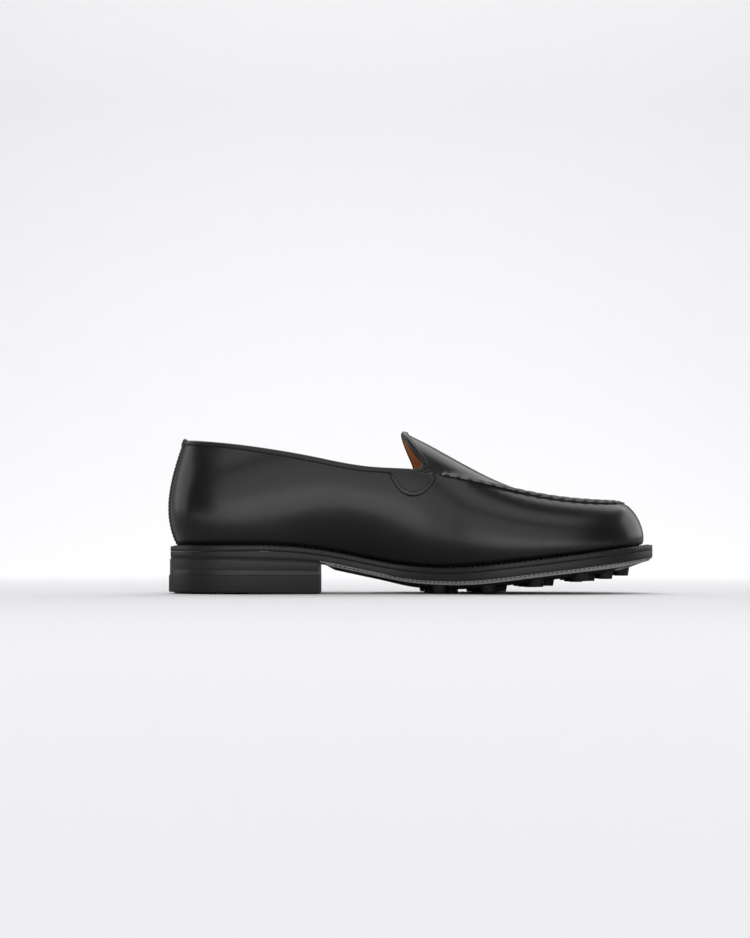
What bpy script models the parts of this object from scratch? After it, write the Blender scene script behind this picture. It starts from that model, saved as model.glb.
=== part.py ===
# Venetian loafer, left shoe.
# Metres, +Z up, toe towards +X, inner (medial) side towards -Y, outer side towards +Y.
# The tables are in millimetres, with x measured forward from the back of the heel.
import math

import bmesh
import bpy
import numpy as np

MM = 0.001

# Driving sizes, in millimetres
FRAME_SHIFT_X = -149.2
FRAME_SHIFT_Y = -4.6
WALL_THICKNESS = 2.2
SKIN_THICKNESS = 1.1
CLEARANCE = 0.3
WELT_THICKNESS = 3.4
WELT_EDGE_INSET = 0.3
WELT_RIM_COVER = 0.5
UPPER_FOOT_INSET = 4.4
SOLE_RING_GAP = 1.2
INSOLE_RISE = 2.0
SEAM_BEAD_RADIUS = 1.3
SEAM_BEAD_LIFT = 0.7
BINDING_RADIUS = 1.2
HEEL_BREAST_X = 93.5
HEEL_STACK_INSET = -0.2
HEEL_TOP_PIECE_INSET = -0.8
HEEL_TOP_PIECE_HEIGHT = 11.5
HEEL_BASE_BACK = 1.0
HEEL_BASE_FRONT = 0.15
HEEL_PAD_REACH = 31.0
HEEL_PAD_INSET = 2.5
TREAD_DEPTH = 3.0
TREAD_SLOPE_WIDTH = 15.0
WAIST_START, WAIST_END = 96.0, 104.0
WAIST_SHARE = 0.7
BALL_START, BALL_END = 128.0, 158.0
TOE_SPRING_START, TOE_SPRING_END = 270.0, 296.0
TOE_SPRING_SHARE = 0.6
STUD_HEIGHT = 3.4
STUD_BASE_RADIUS = 5.0
STUD_TIP_RADIUS = 4.2
STUD_SIDES = 14
STUD_OVERLAP = 1.5
CUTTER_SIZE = 300.0
SHARPEST_MITRE = 0.4

# The throat's edge is scooped forward on both sides of the ridge, in ribs
INNER_SCOOP = 0.68
OUTER_SCOOP = 0.35
SCOOP_FADE_RIBS = 1.5

# How finely the lofts are sampled
STEPS_PER_RIB = 3
WALL_STEPS = 8
PLUG_STEPS = 6
RIBS_PER_SIDE = 12
RIM_RIB = 6
NORMAL_STEP = 0.02
TAB_STEPS_ALONG, TAB_STEPS_DOWN = 12, 4
STRAP_STEPS_UP, STRAP_STEPS_ACROSS = 10, 4

# One row for each rib of the upper, from the back of the heel to the tip of the toe.
# sole: outline of the sole. inset: from there in to the foot of the upper.
# top: where the rib meets the collar, or the apron seam from row 6 on.
# low and high: the curve handles that give the rib its bulge.
RIB_COLUMNS = (
    "sole_x", "sole_y", "inset", "top_x", "top_y", "top_z",
    "low_out", "low_up", "high_out", "high_down",
)
INNER_RIBS = (
    (1.2, 0.0, 5.6, 9.6, 0.0, 91.4, 10.8, 20.0, 6.6, 20.0),
    (12.0, -24.5, 4.0, 17.5, -14.0, 91.0, 9.5, 20.0, 11.4, 20.0),
    (36.0, -35.3, 3.4, 38.0, -23.8, 88.9, 6.5, 20.0, 11.5, 20.0),
    (64.0, -35.0, 3.2, 62.0, -28.8, 85.4, 5.5, 18.0, 8.5, 20.0),
    (92.0, -29.5, 3.0, 90.0, -31.0, 80.3, 7.5, 14.0, 6.5, 20.0),
    (120.0, -24.8, 3.0, 121.0, -31.0, 74.6, 10.0, 11.0, 6.0, 20.0),
    (148.0, -28.5, 3.2, 152.5, -29.0, 72.9, 10.0, 12.0, 8.0, 19.0),
    (175.0, -39.5, 3.8, 177.0, -29.5, 69.6, 8.0, 14.0, 12.0, 16.0),
    (203.0, -48.8, 4.3, 203.0, -30.0, 63.6, 6.0, 13.0, 15.0, 10.0),
    (231.0, -49.0, 4.6, 228.0, -28.8, 58.4, 5.0, 11.0, 13.5, 7.0),
    (259.0, -44.0, 4.9, 252.0, -25.6, 55.4, 4.0, 10.0, 10.5, 4.5),
    (283.8, -31.0, 5.6, 273.0, -17.6, 54.6, 3.4, 9.5, 7.6, 3.2),
    (298.5, -3.0, 6.2, 281.5, -1.6, 54.8, 2.9, 9.0, 6.4, 2.6),
)
OUTER_RIBS = (
    (12.0, 24.5, 4.0, 17.5, 14.0, 91.0, 9.5, 20.0, 11.4, 20.0),
    (36.0, 35.6, 3.4, 38.0, 24.0, 88.6, 6.5, 20.0, 11.5, 20.0),
    (62.0, 36.6, 3.2, 62.0, 29.2, 84.6, 5.0, 19.0, 9.0, 20.0),
    (88.0, 36.4, 3.1, 89.0, 32.2, 78.9, 4.5, 18.0, 7.5, 20.0),
    (113.0, 38.6, 3.2, 120.0, 33.6, 73.1, 4.5, 16.0, 8.0, 20.0),
    (139.0, 45.0, 3.4, 152.0, 32.8, 71.9, 4.5, 15.0, 12.0, 16.0),
    (167.0, 54.0, 4.0, 176.0, 33.8, 68.0, 4.0, 14.0, 15.0, 11.0),
    (196.0, 59.0, 4.4, 203.0, 34.0, 61.0, 3.5, 12.0, 17.5, 7.0),
    (226.0, 55.5, 4.7, 228.0, 31.4, 56.2, 3.5, 11.0, 15.5, 4.5),
    (258.0, 46.6, 4.9, 252.5, 25.8, 53.8, 3.5, 10.0, 11.0, 3.8),
    (285.6, 26.0, 5.6, 273.0, 14.0, 53.8, 3.4, 9.5, 7.1, 3.0),
)

# Ridge line of the apron, x y z for each rib from the throat to the toe.
RIDGE = (
    (147.0, 2.0, 98.6),
    (162.0, 2.4, 91.0),
    (181.0, 2.6, 80.2),
    (203.5, 2.4, 67.8),
    (226.0, 1.6, 60.2),
    (247.0, 0.0, 57.2),
    (261.5, -1.4, 56.2),
)

# Heights along the sole: top of the welt, and lower edge of the outsole.
WELT_TOP = (
    (0.0, 29.1), (40.0, 29.2), (66.0, 29.1), (84.0, 27.9), (102.0, 25.4),
    (120.0, 21.8), (138.0, 18.3), (156.0, 16.2), (172.0, 15.7), (186.0, 16.4),
    (204.0, 18.3), (228.0, 21.1), (256.0, 24.7), (280.0, 27.9), (300.0, 30.2),
)
SOLE_BOTTOM = (
    (0.0, 21.4), (40.0, 20.4), (70.0, 19.5), (93.0, 18.2), (110.0, 14.9),
    (124.0, 11.9), (137.0, 9.2), (150.0, 7.0), (162.0, 6.1), (186.0, 6.1),
    (200.0, 7.4), (221.0, 10.1), (250.0, 13.5), (278.0, 17.1), (300.0, 21.0),
)

# Rows of studs under the forefoot: x, and the places across from inner to outer edge.
FOUR_ACROSS = (-0.78, -0.27, 0.25, 0.76)
THREE_ACROSS = (-0.52, -0.01, 0.50)
STUD_ROWS = (
    (163.5, FOUR_ACROSS),
    (171.5, THREE_ACROSS),
    (193.0, FOUR_ACROSS),
    (201.0, THREE_ACROSS),
    (222.0, FOUR_ACROSS),
    (230.0, THREE_ACROSS),
    (250.0, FOUR_ACROSS),
    (256.0, THREE_ACROSS),
    (266.8, (-0.62, -0.20, 0.20, 0.58)),
    (277.8, (-0.42, 0.0, 0.40)),
)
HEEL_STUDS = ((46.0, -18.0), (46.0, 18.0), (62.0, 0.0), (77.0, -17.0), (77.0, 17.0))

# Side tabs: from rib, to rib, and depth down the wall as a part of the rib.
TAB_COLUMNS = ("back_rib", "front_rib", "top", "depth")
INNER_TAB = (5.46, 6.47, 0.965, 0.235)
OUTER_TAB = (18.54, 17.53, 0.965, 0.22)
SEAM_TAB_GAP = 0.06
STRAP_HALF_WIDTH = 0.17
STRAP_FOOT = 0.03
STRAP_TOP = 0.985

# Colour, roughness and metallic value of each material
BLACK_LEATHER = ("black leather", (0.012, 0.012, 0.013, 1.0), 0.28, 0.0)
TAN_LEATHER = ("tan leather", (0.42, 0.22, 0.10, 1.0), 0.55, 0.0)
BLACK_RUBBER = ("black rubber", (0.014, 0.014, 0.014, 1.0), 0.62, 0.0)
EDGE_LEATHER = ("dyed edge leather", (0.02, 0.02, 0.021, 1.0), 0.42, 0.0)


def clear_scene():
    for thing in list(bpy.data.objects):
        bpy.data.objects.remove(thing, do_unlink=True)


def make_material(look):
    name, colour, roughness, metallic = look
    material = bpy.data.materials.get(name) or bpy.data.materials.new(name)
    material.use_nodes = True
    shader = material.node_tree.nodes["Principled BSDF"]
    shader.inputs["Base Color"].default_value = colour
    shader.inputs["Roughness"].default_value = roughness
    shader.inputs["Metallic"].default_value = metallic
    return material


def spline(knots, values, period=None):
    """Cubic spline through the values, with the curvature continuous at every knot."""
    knots = np.asarray(knots, float)
    values = np.asarray(values, float)
    if period is not None:
        knots = np.append(knots, knots[0] + period)
        values = np.concatenate([values, values[:1]])
    count = len(knots)
    gaps = np.diff(knots)
    steps = (np.diff(values, axis=0).T / gaps).T
    matrix = np.zeros((count, count))
    right = np.zeros_like(values)
    for i in range(1, count - 1):
        before, after = gaps[i - 1], gaps[i]
        matrix[i, i - 1:i + 2] = (1 / before, 2 / before + 2 / after, 1 / after)
        right[i] = 3 * (steps[i - 1] / before + steps[i] / after)
    if period is None:
        matrix[0, :2] = (2, 1)
        matrix[-1, -2:] = (1, 2)
        right[0] = 3 * steps[0]
        right[-1] = 3 * steps[-1]
    else:
        first, last = gaps[0], gaps[-1]
        matrix[0, 0] = 2 / last + 2 / first
        matrix[0, 1] = 1 / first
        matrix[0, -2] = 1 / last
        right[0] = 3 * (steps[-1] / last + steps[0] / first)
        matrix[-1, 0] = 1
        matrix[-1, -1] = -1
    slopes = np.linalg.solve(matrix, right)

    def at(place):
        if period is not None:
            place = knots[0] + (place - knots[0]) % period
        i = int(np.clip(np.searchsorted(knots, place, side="right") - 1, 0, count - 2))
        gap = gaps[i]
        t = (place - knots[i]) / gap
        return (
            (1 + 2 * t) * (1 - t) ** 2 * values[i]
            + t * (1 - t) ** 2 * gap * slopes[i]
            + t * t * (3 - 2 * t) * values[i + 1]
            + t * t * (t - 1) * gap * slopes[i + 1]
        )

    return at


RIBS = INNER_RIBS + OUTER_RIBS[::-1]
RIB_COUNT = len(RIBS)
rib_at = spline(range(RIB_COUNT), RIBS, period=RIB_COUNT)
ridge_at = spline(range(RIM_RIB, RIBS_PER_SIDE + 1), RIDGE)
welt_top_at = spline(*zip(*WELT_TOP))
sole_bottom_at = spline(*zip(*SOLE_BOTTOM))


def rib_value(rib, column):
    return rib_at(rib)[RIB_COLUMNS.index(column)]


def outline(rib, inset=0.0):
    """Point of the sole's outline at a rib, moved in by the inset, and the way out."""
    ahead, behind = rib_at(rib + NORMAL_STEP)[:2], rib_at(rib - NORMAL_STEP)[:2]
    along = (ahead - behind) / np.linalg.norm(ahead - behind)
    out = np.array([along[1], -along[0]])
    return rib_at(rib)[:2] - out * inset, out


def wall_point(rib, rise):
    """Point of the upper's outside: rise 0 is the feather, 1 the collar or apron seam."""
    row = dict(zip(RIB_COLUMNS, rib_at(rib)))
    foot, out = outline(rib, row["inset"])
    foot = np.array([*foot, welt_top_at(foot[0]) + CLEARANCE])
    top = np.array([row["top_x"], row["top_y"], row["top_z"]])
    out = np.array([*out, 0.0])
    up = np.array([0.0, 0.0, 1.0])
    low = foot + out * row["low_out"] + up * row["low_up"]
    high = top + out * row["high_out"] - up * row["high_down"]
    rest = 1 - rise
    return (
        rest ** 3 * foot
        + 3 * rest * rest * rise * low
        + 3 * rest * rise * rise * high
        + rise ** 3 * top
    )


def wall_normal(rib, rise):
    along = wall_point(rib + NORMAL_STEP, rise) - wall_point(rib - NORMAL_STEP, rise)
    upward = wall_point(rib, rise + NORMAL_STEP) - wall_point(rib, rise - NORMAL_STEP)
    normal = np.cross(along, upward)
    return normal / np.linalg.norm(normal)


def scoop(rib, across):
    """How far forward the throat's scooped edge moves the apron's rows, in ribs."""
    depth = INNER_SCOOP if across < 0 else OUTER_SCOOP
    shape = abs(across) ** 2.2 * (1 - abs(across) ** 8)
    return depth * shape * max(0.0, 1 - (rib - RIM_RIB) / SCOOP_FADE_RIBS)


def plug_point(rib, across):
    """Point of the apron: across runs from -1 at the inner seam to 1 at the outer."""
    rib = rib + scoop(rib, across)
    inner = wall_point(rib, 1.0)
    outer = wall_point(RIB_COUNT - rib, 1.0)
    ridge = ridge_at(rib)
    return ridge + (outer - inner) / 2 * across + ((inner + outer) / 2 - ridge) * across ** 2


def placed(point):
    return (
        (point[0] + FRAME_SHIFT_X) * MM,
        (point[1] + FRAME_SHIFT_Y) * MM,
        point[2] * MM,
    )


def object_from_grids(name, grids, merge=0.02):
    """Mesh object from grids of points, its shared edges merged and its faces turned out."""
    shape = bmesh.new()
    for grid in grids:
        rows = [[shape.verts.new(placed(point)) for point in row] for row in grid]
        for low, high in zip(rows, rows[1:]):
            for i in range(len(low) - 1):
                shape.faces.new((low[i], low[i + 1], high[i + 1], high[i]))
    bmesh.ops.remove_doubles(shape, verts=shape.verts, dist=merge * MM)
    bmesh.ops.dissolve_degenerate(shape, edges=shape.edges, dist=merge * MM)
    bmesh.ops.recalc_face_normals(shape, faces=shape.faces)
    mesh = bpy.data.meshes.new(name)
    shape.to_mesh(mesh)
    shape.free()
    return bpy.data.objects.new(name, mesh)


def finish(thing, collection, look):
    thing.data.materials.clear()
    thing.data.materials.append(make_material(look))
    for face in thing.data.polygons:
        face.use_smooth = True
    thing.data.set_sharp_from_angle(angle=math.radians(35))
    collection.objects.link(thing)
    return thing


def thicken(thing, thickness, offset):
    wall = thing.modifiers.new("wall", "SOLIDIFY")
    wall.thickness = thickness * MM
    wall.offset = offset
    wall.use_even_offset = True


def cut_or_join(thing, tool, operation):
    change = thing.modifiers.new(operation.lower(), "BOOLEAN")
    change.operation = operation
    change.object = tool
    change.solver = "EXACT"


def hide_tool(tool, cutters):
    tool.hide_render = True
    tool.display_type = "WIRE"
    cutters.objects.link(tool)


def tube(name, points, radius, closed):
    """Round tube along the points, as a mesh object."""
    curve = bpy.data.curves.new(name, "CURVE")
    curve.dimensions = "3D"
    curve.bevel_depth = radius * MM
    curve.bevel_resolution = 2
    curve.use_fill_caps = not closed
    run = curve.splines.new("POLY")
    run.points.add(len(points) - 1)
    for knot, point in zip(run.points, points):
        knot.co = (*placed(point), 1.0)
    run.use_cyclic_u = closed
    holder = bpy.data.objects.new(name + "_path", curve)
    bpy.context.scene.collection.objects.link(holder)
    graph = bpy.context.evaluated_depsgraph_get()
    mesh = bpy.data.meshes.new_from_object(holder.evaluated_get(graph))
    mesh.name = name
    shape = bmesh.new()
    shape.from_mesh(mesh)
    bmesh.ops.remove_doubles(shape, verts=shape.verts, dist=0.01 * MM)
    shape.to_mesh(mesh)
    shape.free()
    bpy.data.objects.remove(holder, do_unlink=True)
    return bpy.data.objects.new(name, mesh)


def rib_steps(start, end):
    count = round((end - start) * STEPS_PER_RIB)
    return [start + (end - start) * i / count for i in range(count + 1)]


def plate_across(rib, inset, places):
    """Points across the sole at a rib, between its inner and its outer edge."""
    inner, _ = outline(rib, inset)
    outer, _ = outline(RIB_COUNT - rib, inset)
    return [inner + (outer - inner) * (place + 1) / 2 for place in places]


def make_plate(name, inset, top_at, bottom_at, places):
    """Plate with the sole's outline, closed by a top, a bottom and its edge."""
    ribs = rib_steps(0, RIBS_PER_SIDE)
    top = []
    bottom = []
    for rib in ribs:
        spots = plate_across(rib, inset, places)
        top.append([(*spot, top_at(spot[0])) for spot in spots])
        bottom.append([(*spot, bottom_at(spot)) for spot in spots])
    edge = []
    for rib in rib_steps(0, RIB_COUNT):
        spot, _ = outline(rib, inset)
        edge.append([(*spot, bottom_at(spot)), (*spot, top_at(spot[0]))])
    return object_from_grids(name, [top, bottom, edge])


def edge_distance(spot):
    """Distance from a point of the sole in to its outline."""
    ribs = rib_steps(0, RIB_COUNT)
    return min(np.linalg.norm(rib_at(rib)[:2] - spot) for rib in ribs)


def ease(share):
    share = min(max(share, 0.0), 1.0)
    return share * share * (3 - 2 * share)


def tread_drop(spot):
    """How far the underside before the heel stands below its edge."""
    x = spot[0]
    along = WAIST_SHARE * ease((x - WAIST_START) / (WAIST_END - WAIST_START))
    along += (1 - WAIST_SHARE) * ease((x - BALL_START) / (BALL_END - BALL_START))
    spring = ease((x - TOE_SPRING_START) / (TOE_SPRING_END - TOE_SPRING_START))
    along *= 1 - TOE_SPRING_SHARE * spring
    return TREAD_DEPTH * along * ease(edge_distance(spot) / TREAD_SLOPE_WIDTH)


def underside_at(spot):
    return sole_bottom_at(spot[0]) - tread_drop(spot)


def outsole_top_at(x):
    return welt_top_at(x) - WELT_THICKNESS - CLEARANCE


def across_steps():
    """Places across the apron, closer together towards its seams."""
    return [
        math.sin(math.pi / 2 * i / PLUG_STEPS) for i in range(-PLUG_STEPS, PLUG_STEPS + 1)
    ]


def make_upper(collection, cutters):
    wall = [
        [wall_point(rib, i / WALL_STEPS) for i in range(WALL_STEPS + 1)]
        for rib in rib_steps(0, RIB_COUNT)
    ]
    plug = [
        [plug_point(rib, across) for across in across_steps()]
        for rib in rib_steps(RIM_RIB, RIBS_PER_SIDE)
    ]
    upper = object_from_grids("upper", [wall, plug])
    thicken(upper, WALL_THICKNESS, -1.0)
    start = INNER_TAB[1] + SEAM_TAB_GAP
    end = OUTER_TAB[1] - SEAM_TAB_GAP
    line = []
    for rib in rib_steps(start, end):
        top = wall_point(rib, 1.0)
        line.append(top + np.array([0.0, 0.0, SEAM_BEAD_LIFT]))
    bead = tube("apron_seam_bead", line, SEAM_BEAD_RADIUS, closed=False)
    hide_tool(bead, cutters)
    cut_or_join(upper, bead, "UNION")
    return finish(upper, collection, BLACK_LEATHER)


def rim_line():
    """Middle of the edge of the upper's wall and its normal, round the whole opening."""
    line = []
    for rib in rib_steps(RIBS_PER_SIDE + RIM_RIB, RIB_COUNT + RIM_RIB)[:-1]:
        normal = wall_normal(rib, 1 - NORMAL_STEP)
        line.append((wall_point(rib, 1.0) - normal * WALL_THICKNESS / 2, normal))
    for across in across_steps()[:-1]:
        edge = plug_point(RIM_RIB, across)
        forward = plug_point(RIM_RIB + NORMAL_STEP, across) - edge
        side = plug_point(RIM_RIB, across + NORMAL_STEP) - plug_point(RIM_RIB, across - NORMAL_STEP)
        normal = np.cross(forward, side)
        normal /= np.linalg.norm(normal)
        line.append((edge - normal * WALL_THICKNESS / 2, normal))
    return line


def make_binding(collection):
    """Roll standing just off the edge of the leather, mitred at the throat's corners."""
    standoff = BINDING_RADIUS + 2 * CLEARANCE
    rows = rim_line()
    sides = []
    for i, (edge, normal) in enumerate(rows):
        ahead = rows[(i + 1) % len(rows)][0] - edge
        off = np.cross(normal, ahead)
        sides.append(off / np.linalg.norm(off))
    line = []
    for i, (edge, _) in enumerate(rows):
        way = sides[i - 1] + sides[i]
        way /= np.linalg.norm(way)
        mitre = 1 / max(np.dot(way, sides[i]), SHARPEST_MITRE)
        line.append(edge + way * standoff * mitre)
    binding = tube("collar_binding", line, BINDING_RADIUS, closed=True)
    return finish(binding, collection, BLACK_LEATHER)


def make_skin(name, grid, collection):
    """Thin piece lying on the upper's wall, from a grid of ribs and rises."""
    rows = []
    for row in grid:
        rows.append([
            wall_point(rib, rise) + wall_normal(rib, rise) * CLEARANCE for rib, rise in row
        ])
    skin = object_from_grids(name, [rows])
    thicken(skin, SKIN_THICKNESS, 1.0)
    return finish(skin, collection, BLACK_LEATHER)


def make_tab(name, sizes, collection):
    size = dict(zip(TAB_COLUMNS, sizes))
    grid = []
    for i in range(TAB_STEPS_ALONG + 1):
        along = i / TAB_STEPS_ALONG
        rib = size["back_rib"] + (size["front_rib"] - size["back_rib"]) * along
        round_end = (1 - abs(2 * along - 1) ** 2.2) ** 0.75
        depth = size["depth"] * max(round_end, 0.1)
        grid.append([
            (rib, size["top"] - depth * j / TAB_STEPS_DOWN) for j in range(TAB_STEPS_DOWN + 1)
        ])
    return make_skin(name, grid, collection)


def make_back_strap(collection):
    grid = []
    for i in range(STRAP_STEPS_UP + 1):
        rise = STRAP_FOOT + (STRAP_TOP - STRAP_FOOT) * i / STRAP_STEPS_UP
        grid.append([
            (STRAP_HALF_WIDTH * (2 * j / STRAP_STEPS_ACROSS - 1), rise)
            for j in range(STRAP_STEPS_ACROSS + 1)
        ])
    return make_skin("back_strap", grid, collection)


def make_insole(collection):
    places = (-1.0, -0.6, 0.0, 0.6, 1.0)
    ring = UPPER_FOOT_INSET + WALL_THICKNESS + WELT_RIM_COVER + SOLE_RING_GAP
    insole = make_plate(
        "insole",
        ring + CLEARANCE,
        lambda x: welt_top_at(x) + INSOLE_RISE,
        lambda spot: outsole_top_at(spot[0]) + CLEARANCE,
        places,
    )
    return finish(insole, collection, TAN_LEATHER)


def make_welt(collection):
    """Flat ring between the outsole and the upper."""
    inner_inset = UPPER_FOOT_INSET + WALL_THICKNESS + WELT_RIM_COVER + SOLE_RING_GAP
    ring = []
    for rib in rib_steps(0, RIB_COUNT):
        outside, _ = outline(rib, WELT_EDGE_INSET)
        inside, _ = outline(rib, inner_inset)
        high_out, high_in = welt_top_at(outside[0]), welt_top_at(inside[0])
        ring.append([
            (*outside, high_out - WELT_THICKNESS),
            (*outside, high_out),
            (*inside, high_in),
            (*inside, high_in - WELT_THICKNESS),
            (*outside, high_out - WELT_THICKNESS),
        ])
    return finish(object_from_grids("welt", [ring]), collection, EDGE_LEATHER)


def make_stud(x, y, floor_z, root_z):
    stud = bmesh.new()
    bmesh.ops.create_cone(
        stud,
        cap_ends=True,
        segments=STUD_SIDES,
        radius1=STUD_TIP_RADIUS * MM,
        radius2=STUD_BASE_RADIUS * MM,
        depth=(root_z - floor_z) * MM,
    )
    centre = placed((x, y, (root_z + floor_z) / 2))
    bmesh.ops.translate(stud, verts=stud.verts, vec=centre)
    return stud


def joined_studs(name, studs, cutters):
    """One hidden object holding all the studs of a piece."""
    whole = bpy.data.meshes.new(name)
    joined = bmesh.new()
    for stud in studs:
        part = bpy.data.meshes.new(name + "_one")
        stud.to_mesh(part)
        stud.free()
        joined.from_mesh(part)
        bpy.data.meshes.remove(part)
    joined.to_mesh(whole)
    joined.free()
    tool = bpy.data.objects.new(name, whole)
    hide_tool(tool, cutters)
    return tool


def make_outsole(collection, cutters):
    places = (-1.0, -0.86, -0.68, -0.35, 0.0, 0.35, 0.68, 0.86, 1.0)
    outsole = make_plate("outsole", 0.0, outsole_top_at, underside_at, places)
    studs = []
    for x, spots in STUD_ROWS:
        rib = rib_near(x)
        for across in spots:
            spot = plate_across(rib, 0.0, (across,))[0]
            root = underside_at(spot)
            foot = max(0.0, root - STUD_HEIGHT)
            studs.append(make_stud(*spot, foot, root + STUD_OVERLAP))
    cut_or_join(outsole, joined_studs("forefoot_studs", studs, cutters), "UNION")
    return finish(outsole, collection, BLACK_RUBBER)


def rib_near(x):
    """Rib whose middle across the sole lies at x."""
    low, high = 0.0, float(RIBS_PER_SIDE)
    while high - low > 0.001:
        middle = (low + high) / 2
        if plate_across(middle, 0.0, (0.0,))[0][0] < x:
            low = middle
        else:
            high = middle
    return low


def make_heel(collection, cutters):
    """Leather stack and rubber top piece, cut off square at the breast."""
    behind = bmesh.new()
    bmesh.ops.create_cube(behind, size=CUTTER_SIZE * MM)
    mesh = bpy.data.meshes.new("breast_cut")
    middle = placed((HEEL_BREAST_X + CUTTER_SIZE / 2, 0.0, 0.0))
    bmesh.ops.translate(behind, vec=middle, verts=behind.verts)
    behind.to_mesh(mesh)
    behind.free()
    cut = bpy.data.objects.new("breast_cut", mesh)
    hide_tool(cut, cutters)

    places = (-1.0, 0.0, 1.0)
    stack = make_plate(
        "heel_stack",
        HEEL_STACK_INSET,
        lambda x: sole_bottom_at(x) - CLEARANCE,
        lambda spot: HEEL_TOP_PIECE_HEIGHT,
        places,
    )
    cut_or_join(stack, cut, "DIFFERENCE")
    top_piece = make_plate(
        "heel_top_piece",
        HEEL_TOP_PIECE_INSET,
        lambda x: HEEL_TOP_PIECE_HEIGHT - CLEARANCE,
        lambda spot: heel_base_at(spot[0]),
        places,
    )
    cut_or_join(top_piece, cut, "DIFFERENCE")
    tread = heel_tread(cutters)
    cut_or_join(top_piece, tread, "UNION")
    return finish(stack, collection, EDGE_LEATHER), finish(top_piece, collection, BLACK_RUBBER)


def heel_base_at(x):
    """Height of the top piece's underside, level behind the pad and sinking to the breast."""
    share = min(max((x - HEEL_PAD_REACH) / (HEEL_BREAST_X - HEEL_PAD_REACH), 0.0), 1.0)
    return HEEL_BASE_BACK + (HEEL_BASE_FRONT - HEEL_BASE_BACK) * share


def heel_tread(cutters):
    """Crescent pad at the back and round studs before it, all reaching the floor."""
    studs = []
    for x, y in HEEL_STUDS:
        studs.append(make_stud(x, y, 0.0, heel_base_at(x) + STUD_OVERLAP))
    ring = []
    for rib in rib_steps(-2, 2):
        spot, _ = outline(rib, HEEL_PAD_INSET)
        if spot[0] < HEEL_PAD_REACH:
            ring.append(spot)
    crescent = bmesh.new()
    root = HEEL_BASE_BACK + STUD_OVERLAP
    low = [crescent.verts.new(placed((*spot, 0.0))) for spot in ring]
    high = [crescent.verts.new(placed((*spot, root))) for spot in ring]
    crescent.faces.new(low)
    crescent.faces.new(high[::-1])
    for i in range(len(ring)):
        after = (i + 1) % len(ring)
        crescent.faces.new((low[after], low[i], high[i], high[after]))
    bmesh.ops.recalc_face_normals(crescent, faces=crescent.faces)
    return joined_studs("heel_studs", studs + [crescent], cutters)


def main():
    clear_scene()
    loafer = bpy.data.collections.new("venetian_loafer")
    cutters = bpy.data.collections.new("cutters")
    bpy.context.scene.collection.children.link(loafer)
    bpy.context.scene.collection.children.link(cutters)
    make_upper(loafer, cutters)
    make_binding(loafer)
    make_back_strap(loafer)
    make_tab("tab_inner", INNER_TAB, loafer)
    make_tab("tab_outer", OUTER_TAB, loafer)
    make_insole(loafer)
    make_welt(loafer)
    make_outsole(loafer, cutters)
    make_heel(loafer, cutters)


main()
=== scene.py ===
import math

import bmesh
import bpy
import numpy as np
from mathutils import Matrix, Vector


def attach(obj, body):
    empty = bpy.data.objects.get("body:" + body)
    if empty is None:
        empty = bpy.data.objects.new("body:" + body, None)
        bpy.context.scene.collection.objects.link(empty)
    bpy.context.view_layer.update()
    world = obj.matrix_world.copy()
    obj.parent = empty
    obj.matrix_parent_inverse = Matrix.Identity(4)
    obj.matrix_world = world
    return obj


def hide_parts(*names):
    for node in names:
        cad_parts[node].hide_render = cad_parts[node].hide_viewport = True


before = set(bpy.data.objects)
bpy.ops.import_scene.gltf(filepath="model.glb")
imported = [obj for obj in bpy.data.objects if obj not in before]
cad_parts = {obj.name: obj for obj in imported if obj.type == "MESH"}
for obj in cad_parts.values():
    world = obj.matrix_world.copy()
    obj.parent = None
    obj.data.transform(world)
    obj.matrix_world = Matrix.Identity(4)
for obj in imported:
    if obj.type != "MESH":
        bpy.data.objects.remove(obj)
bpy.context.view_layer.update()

mm = 0.001
sharpAngle = math.radians(50)

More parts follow.
